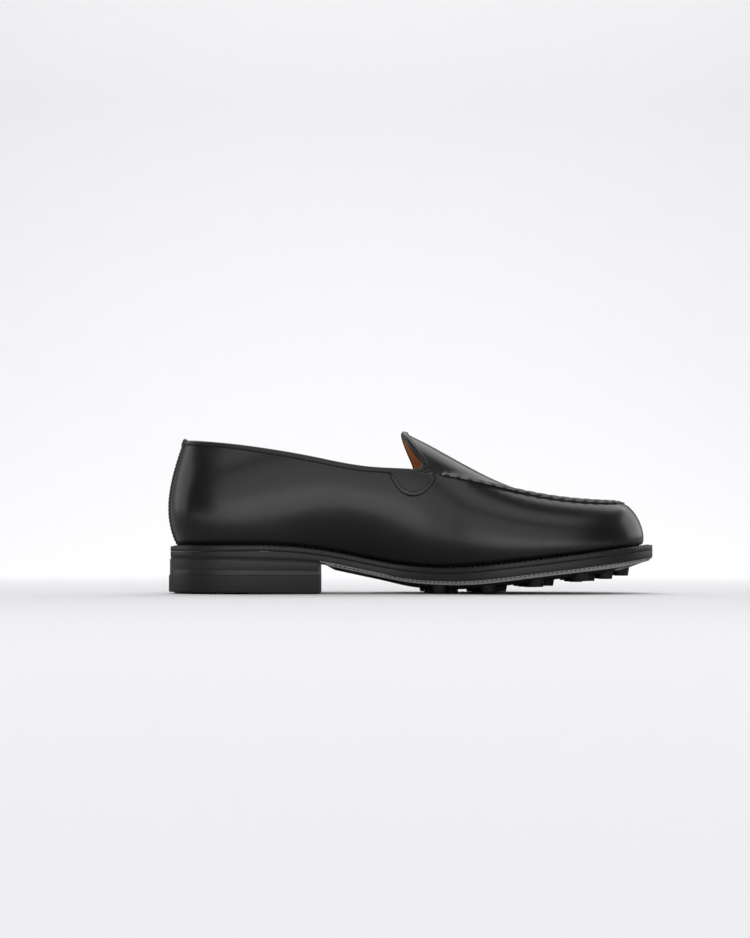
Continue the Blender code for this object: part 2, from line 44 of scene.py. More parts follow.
# The shoe's own shape, in millimetres from the back of the heel.
# Each rib runs up the outside of the upper: sole outline x y, inset of the foot,
# top x y z, then the handles that bulge it: low out up, high out down.
shoe = {
    "shiftX": -149.2,
    "shiftY": -4.6,
    "weltThickness": 3.4,
    "gap": 0.3,
    "rimRib": 6,
    "ribsPerSide": 12,
    "innerRibs": (
        (1.2, 0.0, 5.6, 9.6, 0.0, 91.4, 10.8, 20.0, 6.6, 20.0),  # middle of the back
        (12.0, -24.5, 4.0, 17.5, -14.0, 91.0, 9.5, 20.0, 11.4, 20.0),
        (36.0, -35.3, 3.4, 38.0, -23.8, 88.9, 6.5, 20.0, 11.5, 20.0),
        (64.0, -35.0, 3.2, 62.0, -28.8, 85.4, 5.5, 18.0, 8.5, 20.0),
        (92.0, -29.5, 3.0, 90.0, -31.0, 80.3, 7.5, 14.0, 6.5, 20.0),
        (120.0, -24.8, 3.0, 121.0, -31.0, 74.6, 10.0, 11.0, 6.0, 20.0),
        (148.0, -28.5, 3.2, 152.5, -29.0, 72.9, 10.0, 12.0, 8.0, 19.0),  # throat corner
        (175.0, -39.5, 3.8, 177.0, -29.5, 69.6, 8.0, 14.0, 12.0, 16.0),
        (203.0, -48.8, 4.3, 203.0, -30.0, 63.6, 6.0, 13.0, 15.0, 10.0),
        (231.0, -49.0, 4.6, 228.0, -28.8, 58.4, 5.0, 11.0, 13.5, 7.0),
        (259.0, -44.0, 4.9, 252.0, -25.6, 55.4, 4.0, 10.0, 10.5, 4.5),
        (283.8, -31.0, 5.6, 273.0, -17.6, 54.6, 3.4, 9.5, 7.6, 3.2),
        (298.5, -3.0, 6.2, 281.5, -1.6, 54.8, 2.9, 9.0, 6.4, 2.6),  # tip of the toe
    ),
    "outerRibs": (
        (12.0, 24.5, 4.0, 17.5, 14.0, 91.0, 9.5, 20.0, 11.4, 20.0),
        (36.0, 35.6, 3.4, 38.0, 24.0, 88.6, 6.5, 20.0, 11.5, 20.0),
        (62.0, 36.6, 3.2, 62.0, 29.2, 84.6, 5.0, 19.0, 9.0, 20.0),
        (88.0, 36.4, 3.1, 89.0, 32.2, 78.9, 4.5, 18.0, 7.5, 20.0),
        (113.0, 38.6, 3.2, 120.0, 33.6, 73.1, 4.5, 16.0, 8.0, 20.0),
        (139.0, 45.0, 3.4, 152.0, 32.8, 71.9, 4.5, 15.0, 12.0, 16.0),
        (167.0, 54.0, 4.0, 176.0, 33.8, 68.0, 4.0, 14.0, 15.0, 11.0),
        (196.0, 59.0, 4.4, 203.0, 34.0, 61.0, 3.5, 12.0, 17.5, 7.0),
        (226.0, 55.5, 4.7, 228.0, 31.4, 56.2, 3.5, 11.0, 15.5, 4.5),
        (258.0, 46.6, 4.9, 252.5, 25.8, 53.8, 3.5, 10.0, 11.0, 3.8),
        (285.6, 26.0, 5.6, 273.0, 14.0, 53.8, 3.4, 9.5, 7.1, 3.0),
    ),
    "ridge": (  # middle of the apron, from the throat to the toe
        (147.0, 2.0, 98.6), (162.0, 2.4, 91.0), (181.0, 2.6, 80.2), (203.5, 2.4, 67.8),
        (226.0, 1.6, 60.2), (247.0, 0.0, 57.2), (261.5, -1.4, 56.2),
    ),
    # how far the throat is scooped forward on each side of the ridge, in ribs
    "innerScoop": 0.68, "outerScoop": 0.35, "scoopFade": 1.5, "scoopPower": 2.2, "scoopEnd": 8,
    "collarFade": 0.1,  # ribs over which the collar's rise ends at the throat
    "nearTop": 0.985, "belowTop": 0.97,  # rises at which the top edge takes its directions
    "weltTop": (
        (0.0, 29.1), (40.0, 29.2), (66.0, 29.1), (84.0, 27.9), (102.0, 25.4),
        (120.0, 21.8), (138.0, 18.3), (156.0, 16.2), (172.0, 15.7), (186.0, 16.4),
        (204.0, 18.3), (228.0, 21.1), (256.0, 24.7), (280.0, 27.9), (300.0, 30.2),
    ),
    "soleBottom": (
        (0.0, 21.4), (40.0, 20.4), (70.0, 19.5), (93.0, 18.2), (110.0, 14.9),
        (124.0, 11.9), (137.0, 9.2), (150.0, 7.0), (162.0, 6.1), (186.0, 6.1),
        (200.0, 7.4), (221.0, 10.1), (250.0, 13.5), (278.0, 17.1), (300.0, 21.0),
    ),
}


def smoothCurve(knots, values, period=None):
    # cubic spline, smooth enough for the leather to mirror light without kinks
    knots = np.asarray(knots, float)
    values = np.asarray(values, float)
    if period is not None:
        knots = np.append(knots, knots[0] + period)
        values = np.concatenate([values, values[:1]])
    if values.ndim == 1:
        values = values[:, None]
    count = len(knots)
    gaps = np.diff(knots)
    steps = np.diff(values, axis=0) / gaps[:, None]
    matrix = np.zeros((count, count))
    right = np.zeros_like(values)
    for i in range(1, count - 1):
        before, after = gaps[i - 1], gaps[i]
        matrix[i, i - 1:i + 2] = (1 / before, 2 / before + 2 / after, 1 / after)
        right[i] = 3 * (steps[i - 1] / before + steps[i] / after)
    if period is None:
        matrix[0, :2] = (2, 1)
        matrix[-1, -2:] = (1, 2)
        right[0] = 3 * steps[0]
        right[-1] = 3 * steps[-1]
    else:
        first, last = gaps[0], gaps[-1]
        matrix[0, 0] = 2 / last + 2 / first
        matrix[0, 1] = 1 / first
        matrix[0, -2] = 1 / last
        right[0] = 3 * (steps[-1] / last + steps[0] / first)
        matrix[-1, 0] = 1
        matrix[-1, -1] = -1
    slopes = np.linalg.solve(matrix, right)

    def at(places):
        places = np.asarray(places, float)
        flat = np.atleast_1d(places).ravel()
        if period is not None:
            flat = knots[0] + (flat - knots[0]) % period
        i = np.clip(np.searchsorted(knots, flat, side="right") - 1, 0, count - 2)
        gap = gaps[i][:, None]
        t = ((flat - knots[i]) / gaps[i])[:, None]
        found = (
            (1 + 2 * t) * (1 - t) ** 2 * values[i]
            + t * (1 - t) ** 2 * gap * slopes[i]
            + t * t * (3 - 2 * t) * values[i + 1]
            + t * t * (t - 1) * gap * slopes[i + 1]
        )
        return found.reshape(*places.shape, values.shape[1])

    return at


ribTable = shoe["innerRibs"] + shoe["outerRibs"][::-1]
ribCount = len(ribTable)
ribAt = smoothCurve(range(ribCount), ribTable, period=ribCount)
ridgeAt = smoothCurve(range(shoe["rimRib"], shoe["ribsPerSide"] + 1), shoe["ridge"])
weltTopCurve = smoothCurve(*zip(*shoe["weltTop"]))
soleBottomCurve = smoothCurve(*zip(*shoe["soleBottom"]))


def weltTopAt(x):
    return weltTopCurve(x)[..., 0]


def soleBottomAt(x):
    return soleBottomCurve(x)[..., 0]


def unit(vectors):
    return vectors / np.maximum(np.linalg.norm(vectors, axis=-1, keepdims=True), 1e-9)


def ease(share):
    share = np.clip(share, 0.0, 1.0)
    return share * share * (3 - 2 * share)


def withHeight(spots, height):
    # flat points or ways, with a height added to each
    height = np.broadcast_to(np.asarray(height, float), spots.shape[:-1])
    return np.concatenate([spots, height[..., None]], axis=-1)


def lengthsAlong(points):
    steps = np.linalg.norm(np.diff(points, axis=0), axis=1)
    return np.concatenate([[0.0], np.cumsum(steps)])


def easedSteps(count):
    # from 0 to 1, closer together at both ends
    return 0.5 - 0.5 * np.cos(np.linspace(0, math.pi, count + 1))


def sideSteps(count):
    # from -1 to 1, closer together at both ends
    return -np.cos(np.linspace(0, math.pi, count + 1))


def outlineAt(rib, inset=0.0):
    # point of the sole's outline, moved in, and the way out
    step = 0.02
    along = unit(ribAt(rib + step)[..., :2] - ribAt(rib - step)[..., :2])
    out = np.stack([along[..., 1], -along[..., 0]], axis=-1)
    return ribAt(rib)[..., :2] - out * np.asarray(inset)[..., None], out


def outwardAt(rib):
    return withHeight(outlineAt(rib)[1], 0.0)


def collarShare(ribs):
    # 1 round the collar, 0 along the apron seam
    fade, rim = shoe["collarFade"], shoe["rimRib"]
    return ease((rim - ribs) / fade) + ease((ribs - ribCount + rim) / fade)


def apronRibs(stepsPerRib):
    # ribs from the throat to the tip of the toe
    steps = int((shoe["ribsPerSide"] - shoe["rimRib"]) * stepsPerRib)
    return np.linspace(shoe["rimRib"], shoe["ribsPerSide"], steps + 1)


def wallAt(rib, rise):
    # outside of the upper: rise 0 at the feather, 1 at the collar or apron seam
    rib, rise = np.broadcast_arrays(np.asarray(rib, float), np.asarray(rise, float))
    row = ribAt(rib)
    spot, way = outlineAt(rib, row[..., 2])
    foot = withHeight(spot, weltTopAt(spot[..., 0]) + shoe["gap"])
    out = withHeight(way, 0.0)
    up = np.array([0.0, 0.0, 1.0])
    top = row[..., 3:6]
    low = foot + out * row[..., 6:7] + up * row[..., 7:8]
    high = top + out * row[..., 8:9] - up * row[..., 9:10]
    t = rise[..., None]
    rest = 1 - t
    return rest ** 3 * foot + 3 * rest * rest * t * low + 3 * rest * t * t * high + t ** 3 * top


def wallNormalAt(rib, rise):
    step = 0.01
    rib, rise = np.broadcast_arrays(np.asarray(rib, float), np.asarray(rise, float))
    along = wallAt(rib + step, rise) - wallAt(rib - step, rise)
    upward = wallAt(rib, rise + step) - wallAt(rib, rise - step)
    return unit(np.cross(along, upward))


def plugAt(rib, across):
    # apron: across runs from -1 at the inner seam to 1 at the outer one
    rib, across = np.broadcast_arrays(np.asarray(rib, float), np.asarray(across, float))
    width = np.abs(across)
    most = np.where(across < 0, shoe["innerScoop"], shoe["outerScoop"])
    scoop = most * width ** shoe["scoopPower"] * (1 - width ** shoe["scoopEnd"])
    rib = rib + scoop * np.clip(1 - (rib - shoe["rimRib"]) / shoe["scoopFade"], 0, None)
    inner = wallAt(rib, 1.0)
    outer = wallAt(ribCount - rib, 1.0)
    ridge = ridgeAt(rib)
    side = across[..., None]
    return ridge + (outer - inner) / 2 * side + ((inner + outer) / 2 - ridge) * side ** 2


def plugNormalAt(rib, across):
    step = 0.01
    rib, across = np.broadcast_arrays(np.asarray(rib, float), np.asarray(across, float))
    rib = np.minimum(rib, shoe["ribsPerSide"] - 3 * step)
    along = plugAt(rib + step, across) - plugAt(rib - step, across)
    sideways = plugAt(rib, across + step) - plugAt(rib, across - step)
    return unit(np.cross(along, sideways))


def placed(points):
    points = np.asarray(points, float) + np.array([shoe["shiftX"], shoe["shiftY"], 0.0])
    return points * mm


def gridFaces(rows, columns, start=0, ring=False, loop=False):
    # quads of a grid of points; ring joins the last row to the first, loop the columns
    r = np.arange(rows if ring else rows - 1)[:, None]
    c = np.arange(columns if loop else columns - 1)[None, :]
    nextR, nextC = (r + 1) % rows, (c + 1) % columns
    quads = np.stack(np.broadcast_arrays(
        r * columns + c, r * columns + nextC, nextR * columns + nextC, nextR * columns + c
    ), axis=-1)
    return quads.reshape(-1, 4) + start


def addObject(name, data):
    thing = bpy.data.objects.new(name, data)
    bpy.context.scene.collection.objects.link(thing)
    return thing


def smoothShaded(mesh):
    mesh.polygons.foreach_set("use_smooth", [True] * len(mesh.polygons))
    mesh.set_sharp_from_angle(angle=sharpAngle)


def meshFrom(name, grids, material, merge=0.004):
    # one closed mesh from grids: (points, ring, loop); seams merged, faces turned out
    points, faces, start = [], [], 0
    for grid, ring, loop in grids:
        rows, columns = grid.shape[:2]
        points.append(placed(grid).reshape(-1, 3))
        faces.append(gridFaces(rows, columns, start, ring, loop))
        start += rows * columns
    mesh = bpy.data.meshes.new(name)
    mesh.from_pydata(np.concatenate(points).tolist(), [], np.concatenate(faces).tolist())
    shape = bmesh.new()
    shape.from_mesh(mesh)
    bmesh.ops.remove_doubles(shape, verts=shape.verts, dist=merge * mm)
    bmesh.ops.dissolve_degenerate(shape, edges=shape.edges, dist=merge * mm * 0.5)
    bmesh.ops.recalc_face_normals(shape, faces=shape.faces)
    shape.to_mesh(mesh)
    shape.free()
    mesh.materials.append(material)
    smoothShaded(mesh)
    return addObject(name, mesh)


def shellGrids(outer, inner):
    # two facing open grids and the four strips that close them
    return [
        (outer, False, False),
        (inner, False, False),
        (np.stack([outer[0], inner[0]]), False, False),
        (np.stack([outer[-1], inner[-1]]), False, False),
        (np.stack([outer[:, 0], inner[:, 0]]), False, False),
        (np.stack([outer[:, -1], inner[:, -1]]), False, False),
    ]


def fitted(thing, node):
    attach(thing, "root")
    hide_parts(node)


def makePiece(name, grids, material, node):
    fitted(meshFrom(name, grids, material), node)


# Node helpers, and the shader effects that several materials use


def newGroup(name, kind, inputs, outputs):
    # node group from its sockets: (label, type, value) in, (label, type) out
    group = bpy.data.node_groups.new(name, kind)
    for label, socketKind, value in inputs:
        socket = group.interface.new_socket(
            name=label, in_out="INPUT", socket_type="NodeSocket" + socketKind
        )
        if value is not None:
            socket.default_value = value
    for label, socketKind in outputs:
        group.interface.new_socket(
            name=label, in_out="OUTPUT", socket_type="NodeSocket" + socketKind
        )
    return group, group.nodes.new("NodeGroupInput"), group.nodes.new("NodeGroupOutput")


def setSockets(tree, node, values, wires):
    for label, value in values.items():
        node.inputs[label].default_value = value
    for label, socket in wires.items():
        tree.links.new(socket, node.inputs[label])
    return node


def addNode(tree, kind, values, wires, **choices):
    # the node's own choices come first, because its sockets can depend on them
    node = tree.nodes.new(kind)
    for choice, value in choices.items():
        setattr(node, choice, value)
    return setSockets(tree, node, values, wires)


def mathNode(tree, operation, *terms):
    node = tree.nodes.new("ShaderNodeMath")
    node.operation = operation
    for socket, term in zip(node.inputs, terms):
        if isinstance(term, bpy.types.NodeSocket):
            tree.links.new(term, socket)
        else:
            socket.default_value = term
    return node.outputs[0]


def buildGrainGroup():
    # leather grain: tight pores over a soft, slightly pebbled ground
    group, start, end = newGroup("leatherGrain", "ShaderNodeTree", [
        ("Vector", "Vector", None), ("Pore size", "Float", 0.0005),
        ("Pore depth", "Float", 0.5), ("Ground size", "Float", 0.004),
    ], [("Height", "Float"), ("Mottle", "Float")])
    given = start.outputs
    pores = addNode(group, "ShaderNodeTexVoronoi", {}, {
        "Vector": given["Vector"], "Scale": mathNode(group, "DIVIDE", 1.0, given["Pore size"]),
    }, feature="F1")
    ground = addNode(group, "ShaderNodeTexNoise", {"Detail": 5.0, "Roughness": 0.6}, {
        "Vector": given["Vector"], "Scale": mathNode(group, "DIVIDE", 1.0, given["Ground size"]),
    })
    mottle = addNode(
        group, "ShaderNodeTexNoise", {"Scale": 38.0, "Detail": 3.0}, {"Vector": given["Vector"]}
    )
    poreHeight = mathNode(group, "MULTIPLY", pores.outputs["Distance"], given["Pore depth"])
    height = mathNode(group, "ADD", poreHeight, ground.outputs["Fac"])
    setSockets(group, end, {}, {"Height": height, "Mottle": mottle.outputs["Fac"]})
    return group


def buildRangeGroup():
    # maps a 0-1 mask to a value between two ends, for roughness and the like
    group, start, end = newGroup(
        "valueBetween", "ShaderNodeTree",
        [("Mask", "Float", 0.5), ("Low", "Float", 0.0), ("High", "Float", 1.0)],
        [("Value", "Float")],
    )
    given = start.outputs
    between = addNode(
        group, "ShaderNodeMapRange", {"From Min": 0.3, "From Max": 0.7},
        {"Value": given["Mask"], "To Min": given["Low"], "To Max": given["High"]},
    )
    setSockets(group, end, {}, {"Value": between.outputs["Result"]})
    return group


grainGroup = buildGrainGroup()
rangeGroup = buildRangeGroup()


def newMaterial(name):
    material = bpy.data.materials.new(name)
    material.use_nodes = True
    return material, material.node_tree, material.node_tree.nodes["Principled BSDF"]


def objectVector(tree, stretch=(1.0, 1.0, 1.0)):
    place = tree.nodes.new("ShaderNodeTexCoord")
    mapping = addNode(
        tree, "ShaderNodeMapping", {"Scale": stretch}, {"Vector": place.outputs["Object"]}
    )
    return mapping.outputs["Vector"]


def bumpNormal(tree, height, look):
    bump = addNode(
        tree, "ShaderNodeBump",
        {"Strength": look["bump"], "Distance": look["bumpDepth"]}, {"Height": height},
    )
    return bump.outputs["Normal"]


def mixedColour(tree, mask, low, high):
    mix = addNode(
        tree, "ShaderNodeMix", {6: (*low, 1.0), 7: (*high, 1.0)}, {0: mask}, data_type="RGBA"
    )
    return mix.outputs[2]


def mixedRoughness(tree, mask, look):
    rough = addNode(
        tree, "ShaderNodeGroup", {"Low": look["roughLow"], "High": look["roughHigh"]},
        {"Mask": mask}, node_tree=rangeGroup,
    )
    return rough.outputs["Value"]


def leatherFinish(name, look):
    material, tree, shader = newMaterial(name)
    grain = addNode(tree, "ShaderNodeGroup", {
        "Pore size": look["poreSize"], "Pore depth": look["poreDepth"],
        "Ground size": look["groundSize"],
    }, {"Vector": objectVector(tree)}, node_tree=grainGroup)
    mottle = grain.outputs["Mottle"]
    setSockets(tree, shader, {
        "Coat Weight": look["coat"], "Coat Roughness": look["coatRoughness"],
        "Specular IOR Level": look["specular"],
    }, {
        "Base Color": mixedColour(tree, mottle, look["dark"], look["light"]),
        "Roughness": mixedRoughness(tree, mottle, look),
        "Normal": bumpNormal(tree, grain.outputs["Height"], look),
    })
    return material


boxCalf = leatherFinish("boxCalf", {
    "dark": (0.0055, 0.0055, 0.0060), "light": (0.0095, 0.0095, 0.0100),
    "poreSize": 0.0006, "poreDepth": 0.25, "groundSize": 0.0022,
    "roughLow": 0.27, "roughHigh": 0.35, "coat": 0.35, "coatRoughness": 0.22,
    "specular": 0.5, "bump": 0.10, "bumpDepth": 0.0002,
})
# painted reflection: this grey finish on the seam's lip stands in for the light its face catches
lipSheenPaint = leatherFinish("lipSheenPaint", {
    "dark": (0.10, 0.10, 0.103), "light": (0.18, 0.18, 0.185),
    "poreSize": 0.0005, "poreDepth": 0.5, "groundSize": 0.0012,
    "roughLow": 0.40, "roughHigh": 0.55, "coat": 0.1, "coatRoughness": 0.3,
    "specular": 0.5, "bump": 0.3, "bumpDepth": 0.0002,
})
liningCalf = leatherFinish("liningCalf", {
    "dark": (0.54, 0.255, 0.105), "light": (0.70, 0.365, 0.17),
    "poreSize": 0.0005, "poreDepth": 0.6, "groundSize": 0.0016,
    "roughLow": 0.48, "roughHigh": 0.62, "coat": 0.0, "coatRoughness": 0.3,
    "specular": 0.4, "bump": 0.25, "bumpDepth": 0.0003,
})


def layeredFinish(name, look):
    # satin edge with fine lines running level along it, as a trimmed and waxed edge has
    material, tree, shader = newMaterial(name)
    lines = addNode(
        tree, "ShaderNodeTexNoise", {"Scale": look["lineScale"], "Detail": 4.0, "Roughness": 0.65},
        {"Vector": objectVector(tree, look["stretch"])},
    ).outputs["Fac"]
    setSockets(tree, shader, {"Specular IOR Level": look["specular"]}, {
        "Base Color": mixedColour(tree, lines, look["dark"], look["light"]),
        "Roughness": mixedRoughness(tree, lines, look),
        "Normal": bumpNormal(tree, lines, look),
    })
    return material


waxedEdge = layeredFinish("waxedEdge", {
    "stretch": (0.12, 0.12, 2.2), "lineScale": 900.0,
    "dark": (0.010, 0.010, 0.011), "light": (0.022, 0.021, 0.022),
    "roughLow": 0.34, "roughHigh": 0.50, "specular": 0.5, "bump": 0.16, "bumpDepth": 0.00015,
})
stackedLeather = layeredFinish("stackedLeather", {
    "stretch": (0.06, 0.06, 1.4), "lineScale": 700.0,
    "dark": (0.014, 0.014, 0.014), "light": (0.032, 0.031, 0.031),
    "roughLow": 0.28, "roughHigh": 0.40, "specular": 0.5, "bump": 0.14, "bumpDepth": 0.00012,
})
mouldedRubber = layeredFinish("mouldedRubber", {
    "stretch": (1.0, 1.0, 1.0), "lineScale": 1400.0,
    "dark": (0.012, 0.012, 0.013), "light": (0.020, 0.020, 0.021),
    "roughLow": 0.42, "roughHigh": 0.56, "specular": 0.45, "bump": 0.12, "bumpDepth": 0.00012,
})
# painted reflection: a pale finish for the sole's bevel, standing in for the bright floor it
# mirrors
bevelSheenPaint = layeredFinish("bevelSheenPaint", {
    "stretch": (1.0, 1.0, 1.0), "lineScale": 1200.0,
    "dark": (0.24, 0.24, 0.245), "light": (0.36, 0.36, 0.365),
    "roughLow": 0.45, "roughHigh": 0.6, "specular": 0.5, "bump": 0.12, "bumpDepth": 0.00012,
})


def threadFinish(name, look):
    material, tree, shader = newMaterial(name)
    twist = addNode(
        tree, "ShaderNodeTexNoise", {"Scale": look["twistScale"]}, {"Vector": objectVector(tree)}
    ).outputs["Fac"]
    setSockets(tree, shader, {"Roughness": look["roughness"]}, {
        "Base Color": mixedColour(tree, twist, look["dark"], look["light"]),
        "Normal": bumpNormal(tree, twist, look),
    })
    return material


blackThread = threadFinish("blackThread", {
    "dark": (0.010, 0.010, 0.011), "light": (0.022, 0.022, 0.0242), "twistScale": 3200.0,
    "roughness": 0.42, "bump": 0.3, "bumpDepth": 0.0001,
})

print("materials built")


# Camera, floor and light

studio = {
    "cameraX": -21.7 * mm, "cameraY": -1300 * mm, "cameraZ": 25 * mm,
    "aimZ": 76.9 * mm, "lens": 100.6, "sensor": 36.0,
    "ambient": (0.028, 0.0285, 0.03), "beyondFloor": (0.86, 0.86, 0.88),
    # the second floor colour is painted shade, seen only in the leather's gloss
    "floorColour": (0.84, 0.84, 0.855), "floorShadeInGloss": (0.20, 0.20, 0.205),
    "floorRoughness": 0.9, "floorSpecular": 0.1,
    # the floor's sweep: flat under the shoe, then curving up behind it
    "front": -2.4, "back": 1.6, "sweepRadius": 1.2, "sweepSteps": 16, "height": 4.0, "half": 8.0,
}


def buildCamera():
    data = bpy.data.cameras.new("photoCamera")
    data.sensor_fit = "HORIZONTAL"
    data.sensor_width = studio["sensor"]
    data.lens = studio["lens"]
    data.clip_start = 0.01
    camera = addObject("photoCamera", data)
    place = Vector((studio["cameraX"], studio["cameraY"], studio["cameraZ"]))
    aim = Vector((studio["cameraX"], 0.0, studio["aimZ"]))
    camera.location = place
    camera.rotation_euler = (aim - place).to_track_quat("-Z", "Y").to_euler()
    bpy.context.scene.camera = camera


def buildFloor():
    radius, steps = studio["sweepRadius"], studio["sweepSteps"]
    profile = [(studio["front"], 0.0), (studio["back"], 0.0)]
    for i in range(1, steps + 1):
        angle = math.pi / 2 * i / steps
        profile.append((studio["back"] + radius * math.sin(angle), radius * (1 - math.cos(angle))))
    profile.append((studio["back"] + radius, studio["height"]))
    points = [(side * studio["half"], y, z) for y, z in profile for side in (-1, 1)]
    faces = [(2 * i, 2 * i + 1, 2 * i + 3, 2 * i + 2) for i in range(len(profile) - 1)]
    mesh = bpy.data.meshes.new("studioFloor")
    mesh.from_pydata(points, [], faces)
    mesh.polygons.foreach_set("use_smooth", [True] * len(mesh.polygons))
    material, tree, shader = newMaterial("paleFloor")
    # painted shade: the gloss of the leather meets a dimmer floor than the camera sees, darkening
    # the leather's low reflections
    rays = tree.nodes.new("ShaderNodeLightPath").outputs
    setSockets(tree, shader, {
        "Roughness": studio["floorRoughness"], "Specular IOR Level": studio["floorSpecular"],
    }, {
        "Base Color": mixedColour(
            tree, rays["Is Glossy Ray"], studio["floorColour"], studio["floorShadeInGloss"]
        ),
    })
    mesh.materials.append(material)
    addObject("studioFloor", mesh)


# Area lights, seen in the gloss of the leather unless mirrored is False
lights = {
    # high behind the shoe: rims, top of the apron and the shadow in front
    "backTop": {
        "place": (0.0, 1.3, 1.9), "aim": (0.0, 0.0, 0.0), "size": (3.3, 1.8),
        "power": 26.0,
    },
    # evens out the floor towards the camera
    "frontFloor": {
        "place": (0.0, -0.80, 1.2), "aim": (0.0, -0.74, 0.0), "size": (3.0, 0.9),
        "power": 6.2, "mirrored": False, "spread": 110,
    },
    # wall of light behind the camera, brightest low down
    "lowWindow": {
        "place": (0.1, -1.9, 0.20), "aim": (0.1, 0.0, 0.12), "size": (2.3, 0.42),
        "power": 4.6,
    },
    "highWindow": {
        "place": (0.0, -1.9, 0.95), "aim": (0.0, 0.0, 0.1), "size": (2.4, 1.2),
        "power": 7.0,
    },
    # bright strip of table in front: the light band low on the leather
    "tableGlow": {
        "place": (0.0, -0.66, 0.003), "aim": (0.0, -0.66, 1.0), "size": (2.2, 0.76),
        "power": 6.4,
    },
    # faint panel above the camera, for the seam's face and the welt
    "overheadPanel": {
        "place": (0.0, -1.0, 1.9), "aim": (0.0, 0.0, 0.05), "size": (2.4, 0.9),
        "power": 6.5,
    },
    # panels left and right, a little behind: soft upright lights at heel and toe
    "leftPanel": {
        "place": (-1.5, 0.35, 0.55), "aim": (0.0, 0.0, 0.05), "size": (1.4, 1.1),
        "power": 4.0,
    },
    "rightPanel": {
        "place": (1.4, 0.75, 0.6), "aim": (0.0, 0.0, 0.05), "size": (1.4, 1.1),
        "power": 5.5,
    },
    "backdropWash": {
        "place": (0.0, 0.6, 2.3), "aim": (0.0, 2.8, 1.55), "size": (5.0, 0.8),
        "power": 74.0, "mirrored": False,
    },
}


def addLight(name, look):
    data = bpy.data.lights.new(name, "AREA")
    data.shape = "RECTANGLE"
    data.size, data.size_y = look["size"]
    data.energy = look["power"]
    data.spread = math.radians(look.get("spread", 180))
    light = addObject(name, data)
    light.location = look["place"]
    way = Vector(look["aim"]) - Vector(look["place"])
    light.rotation_euler = way.to_track_quat("-Z", "Y").to_euler()
    light.visible_glossy = look.get("mirrored", True)
    light.visible_camera = False


def buildLight():
    world = bpy.data.worlds.new("softRoom")
    world.use_nodes = True
    tree = world.node_tree
    rays = tree.nodes.new("ShaderNodeLightPath").outputs
    setSockets(tree, tree.nodes["Background"], {}, {
        "Color": mixedColour(tree, rays["Is Camera Ray"], studio["ambient"], studio["beyondFloor"]),
    })
    bpy.context.scene.world = world
    for name, look in lights.items():
        addLight(name, look)
    bpy.context.scene.view_settings.view_transform = "Standard"


buildCamera()
buildFloor()
buildLight()
print("studio built")


# Side wall of the upper, with the raised edge that the apron is sewn to

sideWall = {
    "ribSteps": 30, "riseSteps": 56, "riseBunch": 1.25,
    "thickness": 1.2, "collarRise": 1.9,
    "tuckDepth": 1.7, "tuckRise": 0.06, "backReach": 0.4, "backShare": 0.9,
    "footIn": 0.3, "footDown": 1.2,
    "toeLean": 1.1, "toeLeanRibs": 0.9,
    "stitchPitch": 7.0, "pullPower": 2.5, "pullMean": 0.3,
    "puckerDepth": 0.20, "puckerReach": 0.09, "puckerPower": 1.2,
    # where the seam's lip is painted grey, a painted reflection
    "sheenFrom": 0.5, "sheenTo": 2.5, "sheenDepth": 0.9, "sheenReach": 4.0, "sheenWeight": 0.6,
    "seamFrom": 6.56, "seamFade": 0.10, "seamSamples": 2401,
    # the lip swells between two stitches, up to lipBack, and sinks at each one
    "lipSwell": 0.12, "lipPull": 0.62, "lipDip": 0.10, "lipHigh": 2.75, "lipBack": -0.9,
    "lip": (  # out and up from the seam line, outer foot to inner foot
        (0.18, 0.15), (0.22, 0.6), (0.08, 1.2), (-0.20, 1.8), (-0.58, 2.35),
        (-1.0, 2.68), (-1.45, 2.70), (-1.8, 2.35), (-2.0, 1.4), (-2.0, 0.3),
    ),
    # soft creases: rib, rise, half length in ribs, half height in rise, depth, slant
    "creases": (
        (7.05, 0.62, 0.22, 0.30, 0.12, 0.25),
        (7.55, 0.66, 0.20, 0.26, -0.08, 0.2),
        (16.9, 0.62, 0.22, 0.30, 0.12, -0.25),
        (16.4, 0.66, 0.20, 0.26, -0.08, -0.2),
        (4.6, 0.30, 0.10, 0.22, 0.22, 0.3),
        (5.2, 0.28, 0.09, 0.20, 0.20, 0.3),
        (5.9, 0.26, 0.10, 0.20, 0.18, 0.3),
    ),
}


def seamWeight(rib):
    # 1 along the apron seam, 0 round the collar
    start, fade = sideWall["seamFrom"], sideWall["seamFade"]
    return ease((rib - start) / fade) * ease((ribCount - start - rib) / fade)


def seamArc():
    # length along the seam line for any rib, so that the stitches keep one pitch
    ribs = np.linspace(0, ribCount, sideWall["seamSamples"])
    lengths = lengthsAlong(wallAt(ribs, 1.0))
    return lambda rib: np.interp(np.asarray(rib) % ribCount, ribs, lengths)


arcAt = seamArc()


def stitchPull(rib):
    # 1 where a stitch pulls the leather in, 0 half way between
    turn = arcAt(rib) / sideWall["stitchPitch"] * 2 * math.pi
    return (0.5 + 0.5 * np.cos(turn)) ** sideWall["pullPower"]


def creaseDepth(rib, rise):
    depth = np.zeros(np.broadcast(rib, rise).shape)
    for ribAtCrease, riseAt, halfLong, halfHigh, deep, slant in sideWall["creases"]:
        off = (rib - ribAtCrease - slant * (rise - riseAt)) / halfLong
        depth += deep * np.exp(-off ** 2) * np.exp(-((rise - riseAt) / halfHigh) ** 2)
    return depth


